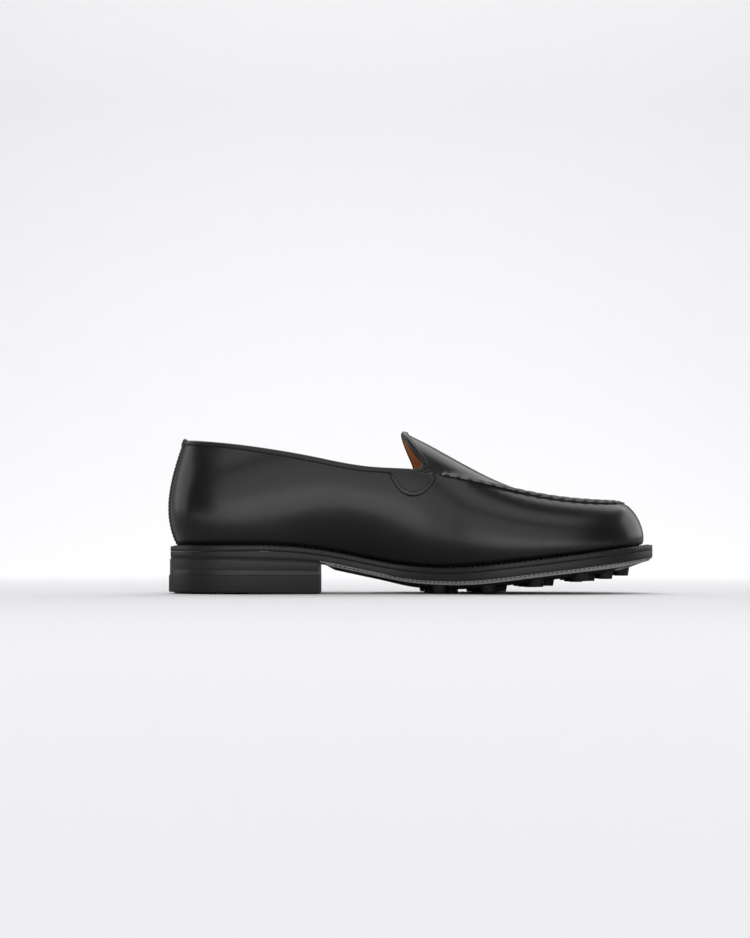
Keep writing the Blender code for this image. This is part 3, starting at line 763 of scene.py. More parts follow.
def wallSurface(rib, rise):
    # the leather's face: last shape, creases, puckers under the seam, tuck at the welt
    points = wallAt(rib, rise)
    normals = wallNormalAt(rib, rise)
    weight = seamWeight(rib)
    below = np.exp(-((1 - rise) / sideWall["puckerReach"]) ** sideWall["puckerPower"])
    pull = (stitchPull(rib) - sideWall["pullMean"]) * sideWall["puckerDepth"] * weight * below
    tuck = sideWall["tuckDepth"] * np.clip(1 - rise / sideWall["tuckRise"], 0, 1) ** 2
    fromBack = np.minimum(rib % ribCount, ribCount - rib % ribCount) / sideWall["backReach"]
    tuck = tuck * (1 - sideWall["backShare"] * np.exp(-fromBack ** 2))
    depth = pull + creaseDepth(rib, rise)
    return points - normals * depth[..., None] - outwardAt(rib) * tuck[..., None], normals


def edgeFrame(rib):
    # directions at the top edge: out and up, level at the seam, along the wall at the collar
    weight = seamWeight(rib)[..., None]
    tangent = unit(wallAt(rib, 1.0) - wallAt(rib, shoe["belowTop"]))
    normal = wallNormalAt(rib, shoe["nearTop"])
    out = outwardAt(rib)
    fromToe = (rib - shoe["ribsPerSide"]) / sideWall["toeLeanRibs"]
    lean = sideWall["toeLean"] * np.exp(-fromToe ** 2)
    up = unit(np.array([0.0, 0.0, 1.0]) - out * lean[..., None])
    return unit(normal * (1 - weight) + out * weight), unit(tangent * (1 - weight) + up * weight)


def paintLipSheen(wall, ribs, out, up, top):
    # the seam's outer face, a cut edge of the leather, is painted greyer than the grain side: a
    # painted reflection standing in for the light the lip's face catches
    low, high, depth = sideWall["sheenFrom"], sideWall["sheenTo"], sideWall["sheenDepth"]
    wall.data.materials.append(lipSheenPaint)
    sewnPart = seamWeight(ribs) > sideWall["sheenWeight"]
    line, outWay, upWay = placed(top[sewnPart]), out[sewnPart], up[sewnPart]
    centres = np.empty(len(wall.data.polygons) * 3)
    wall.data.polygons.foreach_get("center", centres)
    centres = centres.reshape(-1, 3)
    tops = np.where(centres[:, 2] > line[:, 2].min())[0]
    index = np.zeros(len(centres), dtype=int)
    for face in tops:
        away = centres[face] - line
        near = int(np.argmin((away ** 2).sum(axis=1)))
        height = float(away[near] @ upWay[near]) / mm
        beside = float(away[near] @ outWay[near]) / mm
        close = np.abs(away[near]).max() < sideWall["sheenReach"] * mm
        if low < height < high and -depth < beside < depth and close:
            index[face] = 1
    wall.data.polygons.foreach_set("material_index", index.tolist())


def buildSideWall():
    ribs = np.arange(ribCount * sideWall["ribSteps"]) / sideWall["ribSteps"]
    rises = 1 - (1 - np.linspace(0, 1, sideWall["riseSteps"] + 1)) ** sideWall["riseBunch"]
    rib, rise = np.meshgrid(ribs, rises, indexing="ij")
    outer, normals = wallSurface(rib, rise)
    weight = seamWeight(ribs)[:, None]
    pull = stitchPull(ribs)[:, None]
    out, up = edgeFrame(ribs)
    top = outer[:, -1]
    # plain edge round the collar: straight up, then over the thickness
    lip = np.array(sideWall["lip"])
    half = len(lip) // 2
    plain = np.array([(
        -sideWall["thickness"] * max(0, (k - half + 1) / half),
        sideWall["collarRise"] * min(1, (k + 1) / half),
    ) for k in range(len(lip))])
    share = lip[:, 1] / sideWall["lipHigh"]
    swell = np.sin(np.pi * np.clip(share, 0, 1)) * (lip[:, 0] > sideWall["lipBack"])
    lipOut = lip[:, 0] + (sideWall["lipSwell"] - sideWall["lipPull"] * pull) * swell
    lipUp = lip[:, 1] - sideWall["lipDip"] * pull * share ** 2
    outs = weight * lipOut + (1 - weight) * plain[:, 0]
    ups = weight * lipUp + (1 - weight) * plain[:, 1] * collarShare(ribs)[:, None]
    lipGrid = top[:, None] + out[:, None] * outs[..., None] + up[:, None] * ups[..., None]
    inner = outer - normals * sideWall["thickness"]
    down = np.array([0.0, 0.0, sideWall["footDown"]])
    foot = outer[:, :1] - out[:, None] * sideWall["footIn"] - down
    loop = np.concatenate([foot, outer, lipGrid, inner[:, ::-1]], axis=1)
    wall = meshFrom("sideWall", [(loop, True, True)], boxCalf)
    paintLipSheen(wall, ribs, out, up, top)
    fitted(wall, "upper")


# Apron plug, from the throat to the toe

apron = {
    "ribSteps": 30, "acrossSteps": 36, "acrossBunch": 1.35, "thickness": 1.2,
    "edgeLift": 1.1, "edgeReach": 2.6, "fadeFrom": 3.0, "edgeFade": 4.0,
    "puckerDepth": 0.25, "seamSamples": 900, "atOnce": 2000, "lastNormalRib": 11.7,
    # creases across the apron: rib, half width in ribs, depth
    "creases": ((7.35, 0.20, 0.07), (7.85, 0.18, 0.06)), "creaseWide": 0.75, "creaseBow": 0.12,
}


def nearSeam(points):
    # distance to the apron seam and the rib of its nearest spot
    ribs = np.linspace(shoe["rimRib"], ribCount - shoe["rimRib"], apron["seamSamples"])
    line = wallAt(ribs, 1.0)
    flat = points.reshape(-1, 3)
    distance, rib = np.empty(len(flat)), np.empty(len(flat))
    for first in range(0, len(flat), apron["atOnce"]):
        part = slice(first, first + apron["atOnce"])
        away = np.linalg.norm(flat[part, None] - line[None], axis=-1)
        near = away.argmin(axis=1)
        distance[part] = away[np.arange(len(near)), near]
        rib[part] = ribs[near]
    return distance.reshape(points.shape[:-1]), rib.reshape(points.shape[:-1])


def plugSurface(rib, across):
    points = plugAt(rib, across)
    normals = plugNormalAt(np.minimum(rib, apron["lastNormalRib"]), across)
    fromEdge, sideRib = nearSeam(points)
    faded = 1 - ease((fromEdge - apron["fadeFrom"]) / apron["edgeFade"])
    close = np.exp(-fromEdge / apron["edgeReach"]) * faded
    pulled = apron["edgeLift"] - apron["puckerDepth"] * stitchPull(sideRib)
    lift = seamWeight(sideRib) * close * pulled
    inside = np.exp(-(across / apron["creaseWide"]) ** 4)
    for ribAtCrease, halfWide, deep in apron["creases"]:
        off = (rib - ribAtCrease - apron["creaseBow"] * across ** 2) / halfWide
        lift -= deep * inside * np.exp(-off ** 2)
    return points + normals * lift[..., None], normals


def buildApron():
    share = np.linspace(-1, 1, 2 * apron["acrossSteps"] + 1)
    across = np.sign(share) * (1 - (1 - np.abs(share)) ** apron["acrossBunch"])
    rib, side = np.meshgrid(apronRibs(apron["ribSteps"]), across, indexing="ij")
    outer, normals = plugSurface(rib, side)
    inner = plugAt(rib, side) - normals * apron["thickness"]
    makePiece("apronPlug", shellGrids(outer, inner), boxCalf, "upper")


# Lining inside the walls and under the apron

lining = {
    "ribSteps": 8, "riseSteps": 24, "acrossSteps": 12, "startRise": 0.07, "overRim": 2.3,
    "depths": (1.25, 2.15),  # near and far face, below the leather's face
    "footInset": (9.4, 9.6), "footLift": (1.6, 2.15),  # the foot turns in over the sock's edge
}


def buildLiningWall():
    ribs = np.arange(ribCount * lining["ribSteps"]) / lining["ribSteps"]
    rises = np.linspace(lining["startRise"], 1.0, lining["riseSteps"] + 1)
    rib, rise = np.meshgrid(ribs, rises, indexing="ij")
    points, normals = wallAt(rib, rise), wallNormalAt(rib, rise)
    _, up = edgeFrame(ribs)
    crown = (points[:, -1] + up * lining["overRim"] * collarShare(ribs)[:, None])[:, None]
    faces = []
    for depth, inset, lift in zip(lining["depths"], lining["footInset"], lining["footLift"]):
        spot, _ = outlineAt(ribs, inset)
        foot = withHeight(spot, weltTopAt(spot[:, 0]) + lift)[:, None]
        faces.append(np.concatenate(
            [foot, points - normals * depth, crown - normals[:, -1:] * depth], axis=1
        ))
    near, far = faces
    loop = np.concatenate([near, far[:, ::-1]], axis=1)
    makePiece("liningWall", [(loop, True, True)], liningCalf, "upper")


def buildLiningApron():
    across = np.linspace(-1, 1, 2 * lining["acrossSteps"] + 1)
    rib, side = np.meshgrid(apronRibs(lining["ribSteps"]), across, indexing="ij")
    points, normals = plugAt(rib, side), plugNormalAt(rib, side)
    beyond = points[:1] + unit(points[:1] - points[1:2]) * lining["overRim"]
    points = np.concatenate([beyond, points])
    normals = np.concatenate([normals[:1], normals])
    near, far = (points - normals * depth for depth in lining["depths"])
    makePiece("liningApron", shellGrids(near, far), liningCalf, "upper")


# Rolled binding round the collar and across the throat

binding = {
    "points": 640, "wallSamples": 1200, "rimSamples": 500, "pastRim": 0.02,
    "smoothPath": 2.2, "smoothTurn": 5.0,
    "profile": (  # out from the leather's face and up from its edge
        (0.0, -0.45), (0.52, -0.40), (0.80, -0.05), (0.93, 0.6), (0.95, 1.3), (0.82, 2.0),
        (0.50, 2.6), (-0.10, 2.98), (-0.85, 3.10), (-1.60, 3.02), (-2.10, 2.85), (-2.38, 2.6),
        (-2.38, 2.35), (-2.2, 2.2), (-1.5, 2.1), (-0.4, 1.8),
    ),
}


def ringSmooth(values, spacing, width):
    # average round a closed run of points, over a width in millimetres
    reach = max(1, round(3 * width / spacing))
    offsets = np.arange(-reach, reach + 1)
    weights = np.exp(-(offsets * spacing / width) ** 2)
    weights /= weights.sum()
    return sum(w * np.roll(values, -o, axis=0) for o, w in zip(offsets, weights))


def collarEdge():
    # points, out and off directions round the whole opening, evenly spaced
    rimRib, middle = shoe["rimRib"], shoe["ribsPerSide"]
    ribs = np.linspace(middle + rimRib, ribCount + rimRib, binding["wallSamples"])[:-1]
    across = np.sin(np.linspace(-1, 1, binding["rimSamples"])[:-1] * math.pi / 2)
    rim = np.full_like(across, rimRib)
    points = np.concatenate([wallAt(ribs, 1.0), plugAt(rim, across)])
    outs = np.concatenate([
        wallNormalAt(ribs, shoe["nearTop"]), plugNormalAt(rim + binding["pastRim"], across)
    ])
    lengths = lengthsAlong(np.concatenate([points, points[:1]]))
    spots = np.linspace(0, lengths[-1], binding["points"] + 1)[:-1]
    spacing = lengths[-1] / binding["points"]

    def even(values, width):
        loop = np.concatenate([values, values[:1]])
        found = np.stack([np.interp(spots, lengths, loop[:, i]) for i in range(3)], axis=-1)
        return ringSmooth(found, spacing, width)

    points = even(points, binding["smoothPath"])
    outs = unit(even(outs, binding["smoothTurn"]))
    along = np.roll(points, -1, axis=0) - np.roll(points, 1, axis=0)
    ups = ringSmooth(unit(np.cross(outs, along)), spacing, binding["smoothTurn"])
    return points, outs, unit(ups)


def buildBinding():
    points, outs, ups = collarEdge()
    profile = np.array(binding["profile"])
    grid = (
        points[:, None]
        + outs[:, None] * profile[None, :, :1]
        + ups[:, None] * profile[None, :, 1:]
    )
    makePiece("collarBinding", [(grid, True, True)], boxCalf, "collar_binding")


# Overlays on the wall: side tabs and back strap

overlay = {"edgeRound": 0.9, "dip": 0.22, "dipAt": 1.5, "dipWidth": 0.4}


def overlayLift(fromEdge, lift):
    # a quarter round up to the full thickness, drawn down a little along the stitches
    share = np.clip(fromEdge / overlay["edgeRound"], 0.0, 1.0)
    dip = overlay["dip"] * np.exp(-((fromEdge - overlay["dipAt"]) / overlay["dipWidth"]) ** 2)
    return lift * np.sqrt(np.clip(1 - (1 - share) ** 2, 0, 1)) - dip


tab = {
    "back": 5.46, "front": 6.50, "innerDepth": 0.235, "outerDepth": 0.22, "leastDepth": 0.05,
    "lift": 1.15, "skin": 0.03, "backing": 0.6, "steps": 64, "rows": 26, "smoothPasses": 6,
    "roundPower": 2.2, "roundSoft": 0.75, "endShare": 1.2,
    # it flattens into the binding at the throat
    "flatFrom": 0.80, "flatFade": 0.2, "flatRise": 0.5,
    # past the rim it runs on over the apron and thins away
    "wingRows": 12, "wingReach": 0.2, "wingFade": 0.06, "thinFrom": 0.50, "thinFade": 0.35,
}


def buildTab(name, node, isOuter):
    along, rows = easedSteps(tab["steps"]), easedSteps(tab["rows"])
    ribs = tab["back"] + (tab["front"] - tab["back"]) * along
    roundEnd = np.maximum(1 - np.abs(2 * along - 1) ** tab["roundPower"], 0.0) ** tab["roundSoft"]
    depth = tab["outerDepth"] if isOuter else tab["innerDepth"]
    low = 1.0 - depth * np.maximum(roundEnd, tab["leastDepth"])
    a, s = np.meshgrid(along, rows, indexing="ij")
    rib = tab["back"] + (tab["front"] - tab["back"]) * a
    rise = low[:, None] + (1.0 - low[:, None]) * s
    sideRib = ribCount - rib if isOuter else rib
    points, _ = wallSurface(sideRib, rise)
    normals = wallNormalAt(sideRib, np.minimum(rise, shoe["nearTop"]))
    downEdge = np.linalg.norm(points - points[:, :1], axis=-1)
    endEdge = np.minimum(a, 1 - a) * np.linalg.norm(points[-1, -1] - points[0, -1])
    lift = overlayLift(np.minimum(downEdge, endEdge * tab["endShare"]), tab["lift"])
    flat = ease((a - tab["flatFrom"]) / tab["flatFade"])
    lift *= 1 - flat * ease((s - tab["flatRise"]) / tab["flatRise"])
    reach = np.linspace(0, 1, tab["wingRows"] + 1)[1:]
    wingRib = np.repeat(np.clip(ribs, shoe["rimRib"], None)[:, None], len(reach), axis=1)
    wingSide = (1 if isOuter else -1) * (1 - tab["wingReach"] * reach)
    wing, wingNormals = plugSurface(wingRib, np.tile(wingSide, (len(ribs), 1)))
    onApron = ease((ribs - shoe["rimRib"]) / tab["wingFade"])[:, None, None]
    wing = points[:, -1:] * (1 - onApron) + wing * onApron
    wingNormals = normals[:, -1:] * (1 - onApron) + wingNormals * onApron
    points = np.concatenate([points, wing], axis=1)
    normals = unit(np.concatenate([normals, wingNormals], axis=1))
    thinner = 1 - ease((along - tab["thinFrom"]) / tab["thinFade"])
    thin = (1 - ease(reach)[None]) * thinner[:, None]
    lift = np.concatenate([lift, lift[:, -1:] * thin], axis=1)
    inner = points - normals * tab["backing"]
    outer = points + normals * (lift[..., None] + tab["skin"])
    for _ in range(tab["smoothPasses"]):
        outer[:, 1:-1] = (outer[:, :-2] + 2 * outer[:, 1:-1] + outer[:, 2:]) / 4
    makePiece(name, shellGrids(outer, inner), boxCalf, node)
    return ribs, low


strap = {
    "half": 0.165, "foot": 0.002, "lift": 1.15, "backing": 0.4, "rows": 70, "across": 22,
    # over the binding at the top, with the little ear standing up
    "climb": 0.75, "climbFrom": 0.955, "climbFade": 0.045,
    "earRise": (0.8, 1.7, 2.6, 3.3, 3.7), "earThin": (1.0, 1.0, 0.95, 0.75, 0.35),
}


def buildBackStrap():
    rises = np.linspace(strap["foot"], 1.0, strap["rows"])
    a, rise = np.meshgrid(easedSteps(strap["across"]), rises, indexing="ij")
    rib = strap["half"] * (2 * a - 1)
    points, _ = wallSurface(rib, rise)
    normals = wallNormalAt(rib, np.minimum(rise, shoe["nearTop"]))
    width = np.linalg.norm(points[-1] - points[0], axis=-1)
    lift = overlayLift(np.minimum(a, 1 - a) * width[None], strap["lift"])
    up = unit(points[:, -1] - points[:, -6])
    ear = np.array(strap["earRise"])
    over = points[:, -1][:, None] + up[:, None] * ear[None, :, None]
    points = np.concatenate([points, over], axis=1)
    normals = np.concatenate([normals, np.repeat(normals[:, -1:], len(ear), axis=1)], axis=1)
    climb = ease((rises - strap["climbFrom"]) / strap["climbFade"])
    climb = np.concatenate([climb, np.ones(len(ear))])
    lift = np.concatenate([lift, lift[:, -1:] * np.array(strap["earThin"])], axis=1)
    lift = lift + strap["climb"] * climb[None]
    outer = points + normals * lift[..., None]
    inner = points - normals * strap["backing"]
    makePiece("backStrap", shellGrids(outer, inner), boxCalf, "back_strap")


# Sole: insole, welt, outsole with studs, heel

sole = {
    "ribSteps": 24, "acrossSteps": 26, "samples": 2401, "outlineSamples": 480,
    # full bevel in front of the heel's breast, next to none above the heel
    "breast": 93.5, "bevelAhead": 2.0, "bevelFade": 6.0, "bevelFrom": -0.6, "bevelLeast": -0.4,
    "edgeProfile": (  # out from the outline and share of the height, underneath to top
        (-2.6, 0.0), (-2.3, 0.02), (-0.7, 0.25), (-0.25, 0.30), (-0.14, 0.36),
        (-0.13, 0.6), (-0.15, 0.97), (-0.19, 1.0),
    ),
    "clearance": 0.05,  # a layer's top stays just below the layer above it
    "treadDepth": 3.0, "treadSlope": 15.0,
    "waistStart": 96.0, "waistEnd": 104.0, "waistShare": 0.7,
    "ballStart": 128.0, "ballEnd": 158.0,
    "toeStart": 270.0, "toeEnd": 296.0, "toeShare": 0.6,
    # upward part of a normal: below downFrom it is the underside, below flatFrom the flat tread
    "downFrom": -0.3, "flatFrom": -0.93, "paleAhead": 1.0,
}


def acrossSole(rib, inset, place):
    inner, _ = outlineAt(rib, inset)
    outer, _ = outlineAt(ribCount - rib, inset)
    return inner + (outer - inner) * (np.asarray(place)[..., None] + 1) / 2


outlineRing = outlineAt(np.linspace(0, ribCount, sole["outlineSamples"] + 1)[:-1])[0]


def edgeDistance(spots):
    flat = spots.reshape(-1, 2)
    found = np.full(len(flat), 1e9)
    for point in outlineRing:
        found = np.minimum(found, np.hypot(flat[:, 0] - point[0], flat[:, 1] - point[1]))
    return found.reshape(spots.shape[:-1])


def undersideAt(spots):
    x = spots[..., 0]

    def past(part):
        start, end = sole[part + "Start"], sole[part + "End"]
        return ease((x - start) / (end - start))

    along = sole["waistShare"] * past("waist") + (1 - sole["waistShare"]) * past("ball")
    along = along * (1 - sole["toeShare"] * past("toe"))
    drop = sole["treadDepth"] * along * ease(edgeDistance(spots) / sole["treadSlope"])
    return soleBottomAt(x) - drop


def bevelled(rib, out):
    if out > sole["bevelFrom"]:
        return np.full(np.shape(rib), float(out))
    x = outlineAt(rib)[0][..., 0]
    share = ease((x - sole["breast"] - sole["bevelAhead"]) / sole["bevelFade"])
    return sole["bevelLeast"] + (out - sole["bevelLeast"]) * share


def plateGrids(inset, topAt, bottomAt, edgeProfile):
    # top, bottom and edge of a layer of the sole; the edge profile is (out, share up)
    last = shoe["ribsPerSide"]
    ribs = np.linspace(0, last, int(last * sole["ribSteps"]) + 1)
    rib, side = np.meshgrid(ribs, sideSteps(sole["acrossSteps"]), indexing="ij")
    low = acrossSole(rib, inset - bevelled(rib, edgeProfile[0][0]), side)
    high = acrossSole(rib, inset - edgeProfile[-1][0], side)
    around = np.linspace(0, ribCount, int(ribCount * sole["ribSteps"]) + 1)[:-1]
    rows = []
    for out, share in edgeProfile:
        spot, _ = outlineAt(around, inset - bevelled(around, out))
        lowZ, highZ = bottomAt(spot), topAt(spot)
        rows.append(withHeight(spot, lowZ + (highZ - lowZ) * share))
    return [
        (withHeight(low, bottomAt(low)), False, False),
        (withHeight(high, topAt(high)), False, False),
        (np.stack(rows, axis=1), True, False),
    ]


insole = {
    "inset": 8.6, "overWelt": 2.0,
    "edgeProfile": ((0.0, 0.0), (0.0, 0.7), (-0.3, 0.95), (-0.8, 1.0)),
}


def buildInsole():
    grids = plateGrids(
        insole["inset"],
        lambda spot: weltTopAt(spot[..., 0]) + insole["overWelt"],
        lambda spot: weltTopAt(spot[..., 0]) - shoe["weltThickness"],
        insole["edgeProfile"],
    )
    makePiece("insoleSock", grids, liningCalf, "insole")


welt = {
    "ribSteps": 60,
    "profile": (  # inset from the outline, height below the welt's top
        (9.5, 3.4), (0.45, 3.4), (0.22, 3.2), (0.15, 2.2), (0.15, 0.9),
        (0.30, 0.35), (0.75, 0.06), (1.5, 0.0), (4.6, 0.2), (9.5, 0.25),
    ),
    # wheeled notches on the upper face, in front of the heel
    "wheelPitch": 2.6, "wheelDepth": 0.22, "wheelFrom": 80.0, "wheelFade": 8.0,
    "wheelInset": (0.6, 1.95), "wheelBelow": 0.6,
}


def buildWelt():
    around = np.linspace(0, ribCount, int(ribCount * welt["ribSteps"]) + 1)[:-1]
    turn = lengthsAlong(outlineAt(around)[0]) / welt["wheelPitch"] * 2 * math.pi
    wheel = 0.5 + 0.5 * np.cos(turn)
    nearest, farthest = welt["wheelInset"]
    rows = []
    for inset, below in welt["profile"]:
        spot, _ = outlineAt(around, inset)
        forward = ease((spot[:, 0] - welt["wheelFrom"]) / welt["wheelFade"])
        wheeled = nearest < inset < farthest and below < welt["wheelBelow"]
        notch = welt["wheelDepth"] * wheel * forward * wheeled
        rows.append(withHeight(spot, weltTopAt(spot[:, 0]) - below - notch))
    grid = np.stack(rows, axis=1)
    makePiece("weltStrip", [(grid, True, True)], waxedEdge, "welt")


studs = {
    "height": 3.4, "root": 1.5, "base": 5.0, "tip": 4.2, "edge": 0.35, "chamfer": 0.1, "sides": 28,
    "rows": (  # x, then shares across the sole
        (163.5, (-0.78, -0.27, 0.25, 0.76)), (171.5, (-0.52, -0.01, 0.50)),
        (193.0, (-0.78, -0.27, 0.25, 0.76)), (201.0, (-0.52, -0.01, 0.50)),
        (222.0, (-0.78, -0.27, 0.25, 0.76)), (230.0, (-0.52, -0.01, 0.50)),
        (250.0, (-0.78, -0.27, 0.25, 0.76)), (256.0, (-0.52, -0.01, 0.50)),
        (266.8, (-0.62, -0.20, 0.20, 0.58)), (277.8, (-0.42, 0.0, 0.40)),
    ),
    "underHeel": ((46.0, -18.0), (46.0, 18.0), (62.0, 0.0), (77.0, -17.0), (77.0, 17.0)),
}


def turnedStud():
    tip, edge, chamfer, sides = studs["tip"], studs["edge"], studs["chamfer"], studs["sides"]
    high = studs["height"] + studs["root"]
    profile = (
        (0.0, 0.0), (tip - edge, 0.0), (tip - chamfer, chamfer), (tip, edge),
        (studs["base"], high), (0.0, high),
    )
    mesh = bpy.data.meshes.new("studPattern")
    shape = bmesh.new()
    rings = [[
        shape.verts.new((
            radius * math.cos(2 * math.pi * i / sides) * mm,
            radius * math.sin(2 * math.pi * i / sides) * mm,
            z * mm,
        )) for i in range(sides)
    ] for radius, z in profile]
    for lower, upper in zip(rings, rings[1:]):
        for i in range(sides):
            after = (i + 1) % sides
            shape.faces.new((lower[i], lower[after], upper[after], upper[i]))
    bmesh.ops.remove_doubles(shape, verts=shape.verts, dist=0.001 * mm)
    bmesh.ops.recalc_face_normals(shape, faces=shape.faces)
    shape.to_mesh(mesh)
    shape.free()
    smoothShaded(mesh)
    return addObject("studPattern", mesh)


def geometryTree(name, inputs):
    inputs = [("Geometry", "Geometry", None), *inputs, ("Material", "Material", None)]
    return newGroup(name, "GeometryNodeTree", inputs, [("Geometry", "Geometry")])


def finishTree(tree, start, end, geometry):
    realize = addNode(tree, "GeometryNodeRealizeInstances", {}, {"Geometry": geometry})
    paint = addNode(tree, "GeometryNodeSetMaterial", {}, {
        "Geometry": realize.outputs["Geometry"], "Material": start.outputs["Material"],
    })
    setSockets(tree, end, {}, {"Geometry": paint.outputs["Geometry"]})
    return tree


def buildStudTree():
    tree, start, end = geometryTree("studField", [("Stud", "Object", None)])
    stud = addNode(tree, "GeometryNodeObjectInfo", {}, {"Object": start.outputs["Stud"]})
    place = addNode(tree, "GeometryNodeInstanceOnPoints", {}, {
        "Points": start.outputs["Geometry"], "Instance": stud.outputs["Geometry"],
    })
    return finishTree(tree, start, end, place.outputs["Instances"])


def buildStitchTree():
    # thread stitches lying along a curve: spacing, length and thickness in metres
    tree, start, end = geometryTree("stitchRun", [
        ("Spacing", "Float", 0.003), ("Length", "Float", 0.002),
        ("Thickness", "Float", 0.0005), ("Seed", "Int", 3),
    ])
    given = start.outputs
    resample = addNode(tree, "GeometryNodeResampleCurve", {}, {
        "Curve": given["Geometry"], "Length": given["Spacing"],
    }, mode="LENGTH")
    sphere = addNode(
        tree, "GeometryNodeMeshUVSphere", {"Segments": 8, "Rings": 5, "Radius": 0.5}, {}
    )
    smooth = addNode(tree, "GeometryNodeSetShadeSmooth", {}, {"Geometry": sphere.outputs["Mesh"]})
    tangent = tree.nodes.new("GeometryNodeInputTangent")
    align = addNode(
        tree, "FunctionNodeAlignRotationToVector", {}, {"Vector": tangent.outputs["Tangent"]},
        axis="X",
    )
    vary = addNode(
        tree, "FunctionNodeRandomValue", {2: 0.9, 3: 1.1}, {"Seed": given["Seed"]},
        data_type="FLOAT",
    )
    size = addNode(tree, "ShaderNodeCombineXYZ", {}, {
        "X": mathNode(tree, "MULTIPLY", given["Length"], vary.outputs[1]),
        "Y": given["Thickness"], "Z": given["Thickness"],
    })
    place = addNode(tree, "GeometryNodeInstanceOnPoints", {}, {
        "Points": resample.outputs["Curve"], "Instance": smooth.outputs["Geometry"],
        "Rotation": align.outputs["Rotation"], "Scale": size.outputs["Vector"],
    })
    return finishTree(tree, start, end, place.outputs["Instances"])


studTree = buildStudTree()
stitchTree = buildStitchTree()


def runTree(name, source, tree, values):
    # evaluates the tree on the source object and keeps the result as a plain mesh
    modifier = source.modifiers.new(tree.name, "NODES")
    modifier.node_group = tree
    for item in tree.interface.items_tree:
        if item.in_out == "INPUT" and item.name in values:
            modifier[item.identifier] = values[item.name]
    graph = bpy.context.evaluated_depsgraph_get()
    mesh = bpy.data.meshes.new_from_object(source.evaluated_get(graph))
    mesh.name = name
    thing = addObject(name, mesh)
    bpy.data.objects.remove(source, do_unlink=True)
    return thing


def sewn(name, path, look, node, closed=False):
    # a row of stitches along a path of points in shoe millimetres
    curve = bpy.data.curves.new(name + "Path", "CURVE")
    curve.dimensions = "3D"
    run = curve.splines.new("POLY")
    run.points.add(len(path) - 1)
    for knot, point in zip(run.points, placed(path)):
        knot.co = (*point, 1.0)
    run.use_cyclic_u = closed
    thing = runTree(name, addObject(name + "Path", curve), stitchTree, {
        "Spacing": look["pitch"] * mm, "Length": look["length"] * mm,
        "Thickness": look["thick"] * mm, "Seed": 3, "Material": blackThread,
    })
    fitted(thing, node)


def ribNear(x):
    ribs = np.linspace(0, shoe["ribsPerSide"], sole["samples"])
    middle = acrossSole(ribs, 0.0, np.zeros_like(ribs))[:, 0]
    return float(np.interp(x, middle, ribs))


def studField(name, spots, node):
    points = bpy.data.meshes.new(name + "Points")
    points.from_pydata(placed(spots).tolist(), [], [])
    source = addObject(name + "Points", points)
    stud = turnedStud()
    field = runTree(name, source, studTree, {"Stud": stud, "Material": mouldedRubber})
    bpy.data.objects.remove(stud, do_unlink=True)
    fitted(field, node)


def buildOutsole():
    grids = plateGrids(
        0.0,
        lambda spot: weltTopAt(spot[..., 0]) - shoe["weltThickness"] - sole["clearance"],
        undersideAt,
        sole["edgeProfile"],
    )
    plate = meshFrom("outsoleRubber", grids, waxedEdge)
    plate.data.materials.append(mouldedRubber)
    plate.data.materials.append(bevelSheenPaint)
    # the underside is plain rubber; its bevel ahead of the heel is painted pale, a painted
    # reflection of the bright floor
    faces = plate.data.polygons
    normals = np.array([face.normal[2] for face in faces])
    paleStart = placed([sole["breast"] + sole["paleAhead"], 0.0, 0.0])[0]
    ahead = np.array([face.center[0] for face in faces]) > paleStart
    down = normals < sole["downFrom"]
    paint = down.astype(int) + (ahead & (normals > sole["flatFrom"]) & down).astype(int)
    faces.foreach_set("material_index", paint.tolist())
    fitted(plate, "outsole")
    spots = []
    for x, places in studs["rows"]:
        rib = ribNear(x)
        for place in places:
            spot = acrossSole(np.array(rib), 0.0, np.array(place))
            root = float(undersideAt(spot[None])[0])
            spots.append((spot[0], spot[1], max(0.0, root - studs["height"])))
    studField("soleStuds", spots, "outsole")


heel = {
    "height": 11.5,  # top of the rubber top piece
    "stackInset": -0.2, "topPieceInset": -0.8, "topPieceClearance": 0.1,
    "stackProfile": ((0.0, 0.0), (0.0, 0.32), (-0.02, 0.33), (0.0, 0.34), (0.0, 1.0)),
    "topPieceProfile": (
        (-0.35, 0.0), (-0.08, 0.03), (0.0, 0.09), (0.0, 0.92), (-0.08, 0.98), (-0.3, 1.0),
    ),
    "baseBack": 1.0, "baseFront": 0.15,
    "lastRib": 6, "ribSteps": 5,
    "padReach": 31.0, "padInset": 2.5, "padOverlap": 1.0, "padRibs": 3, "padSamples": 240,
    "padSteps": 8,
}


def heelBaseAt(x):
    share = np.clip((x - heel["padReach"]) / (sole["breast"] - heel["padReach"]), 0, 1)
    return heel["baseBack"] + (heel["baseFront"] - heel["baseBack"]) * share


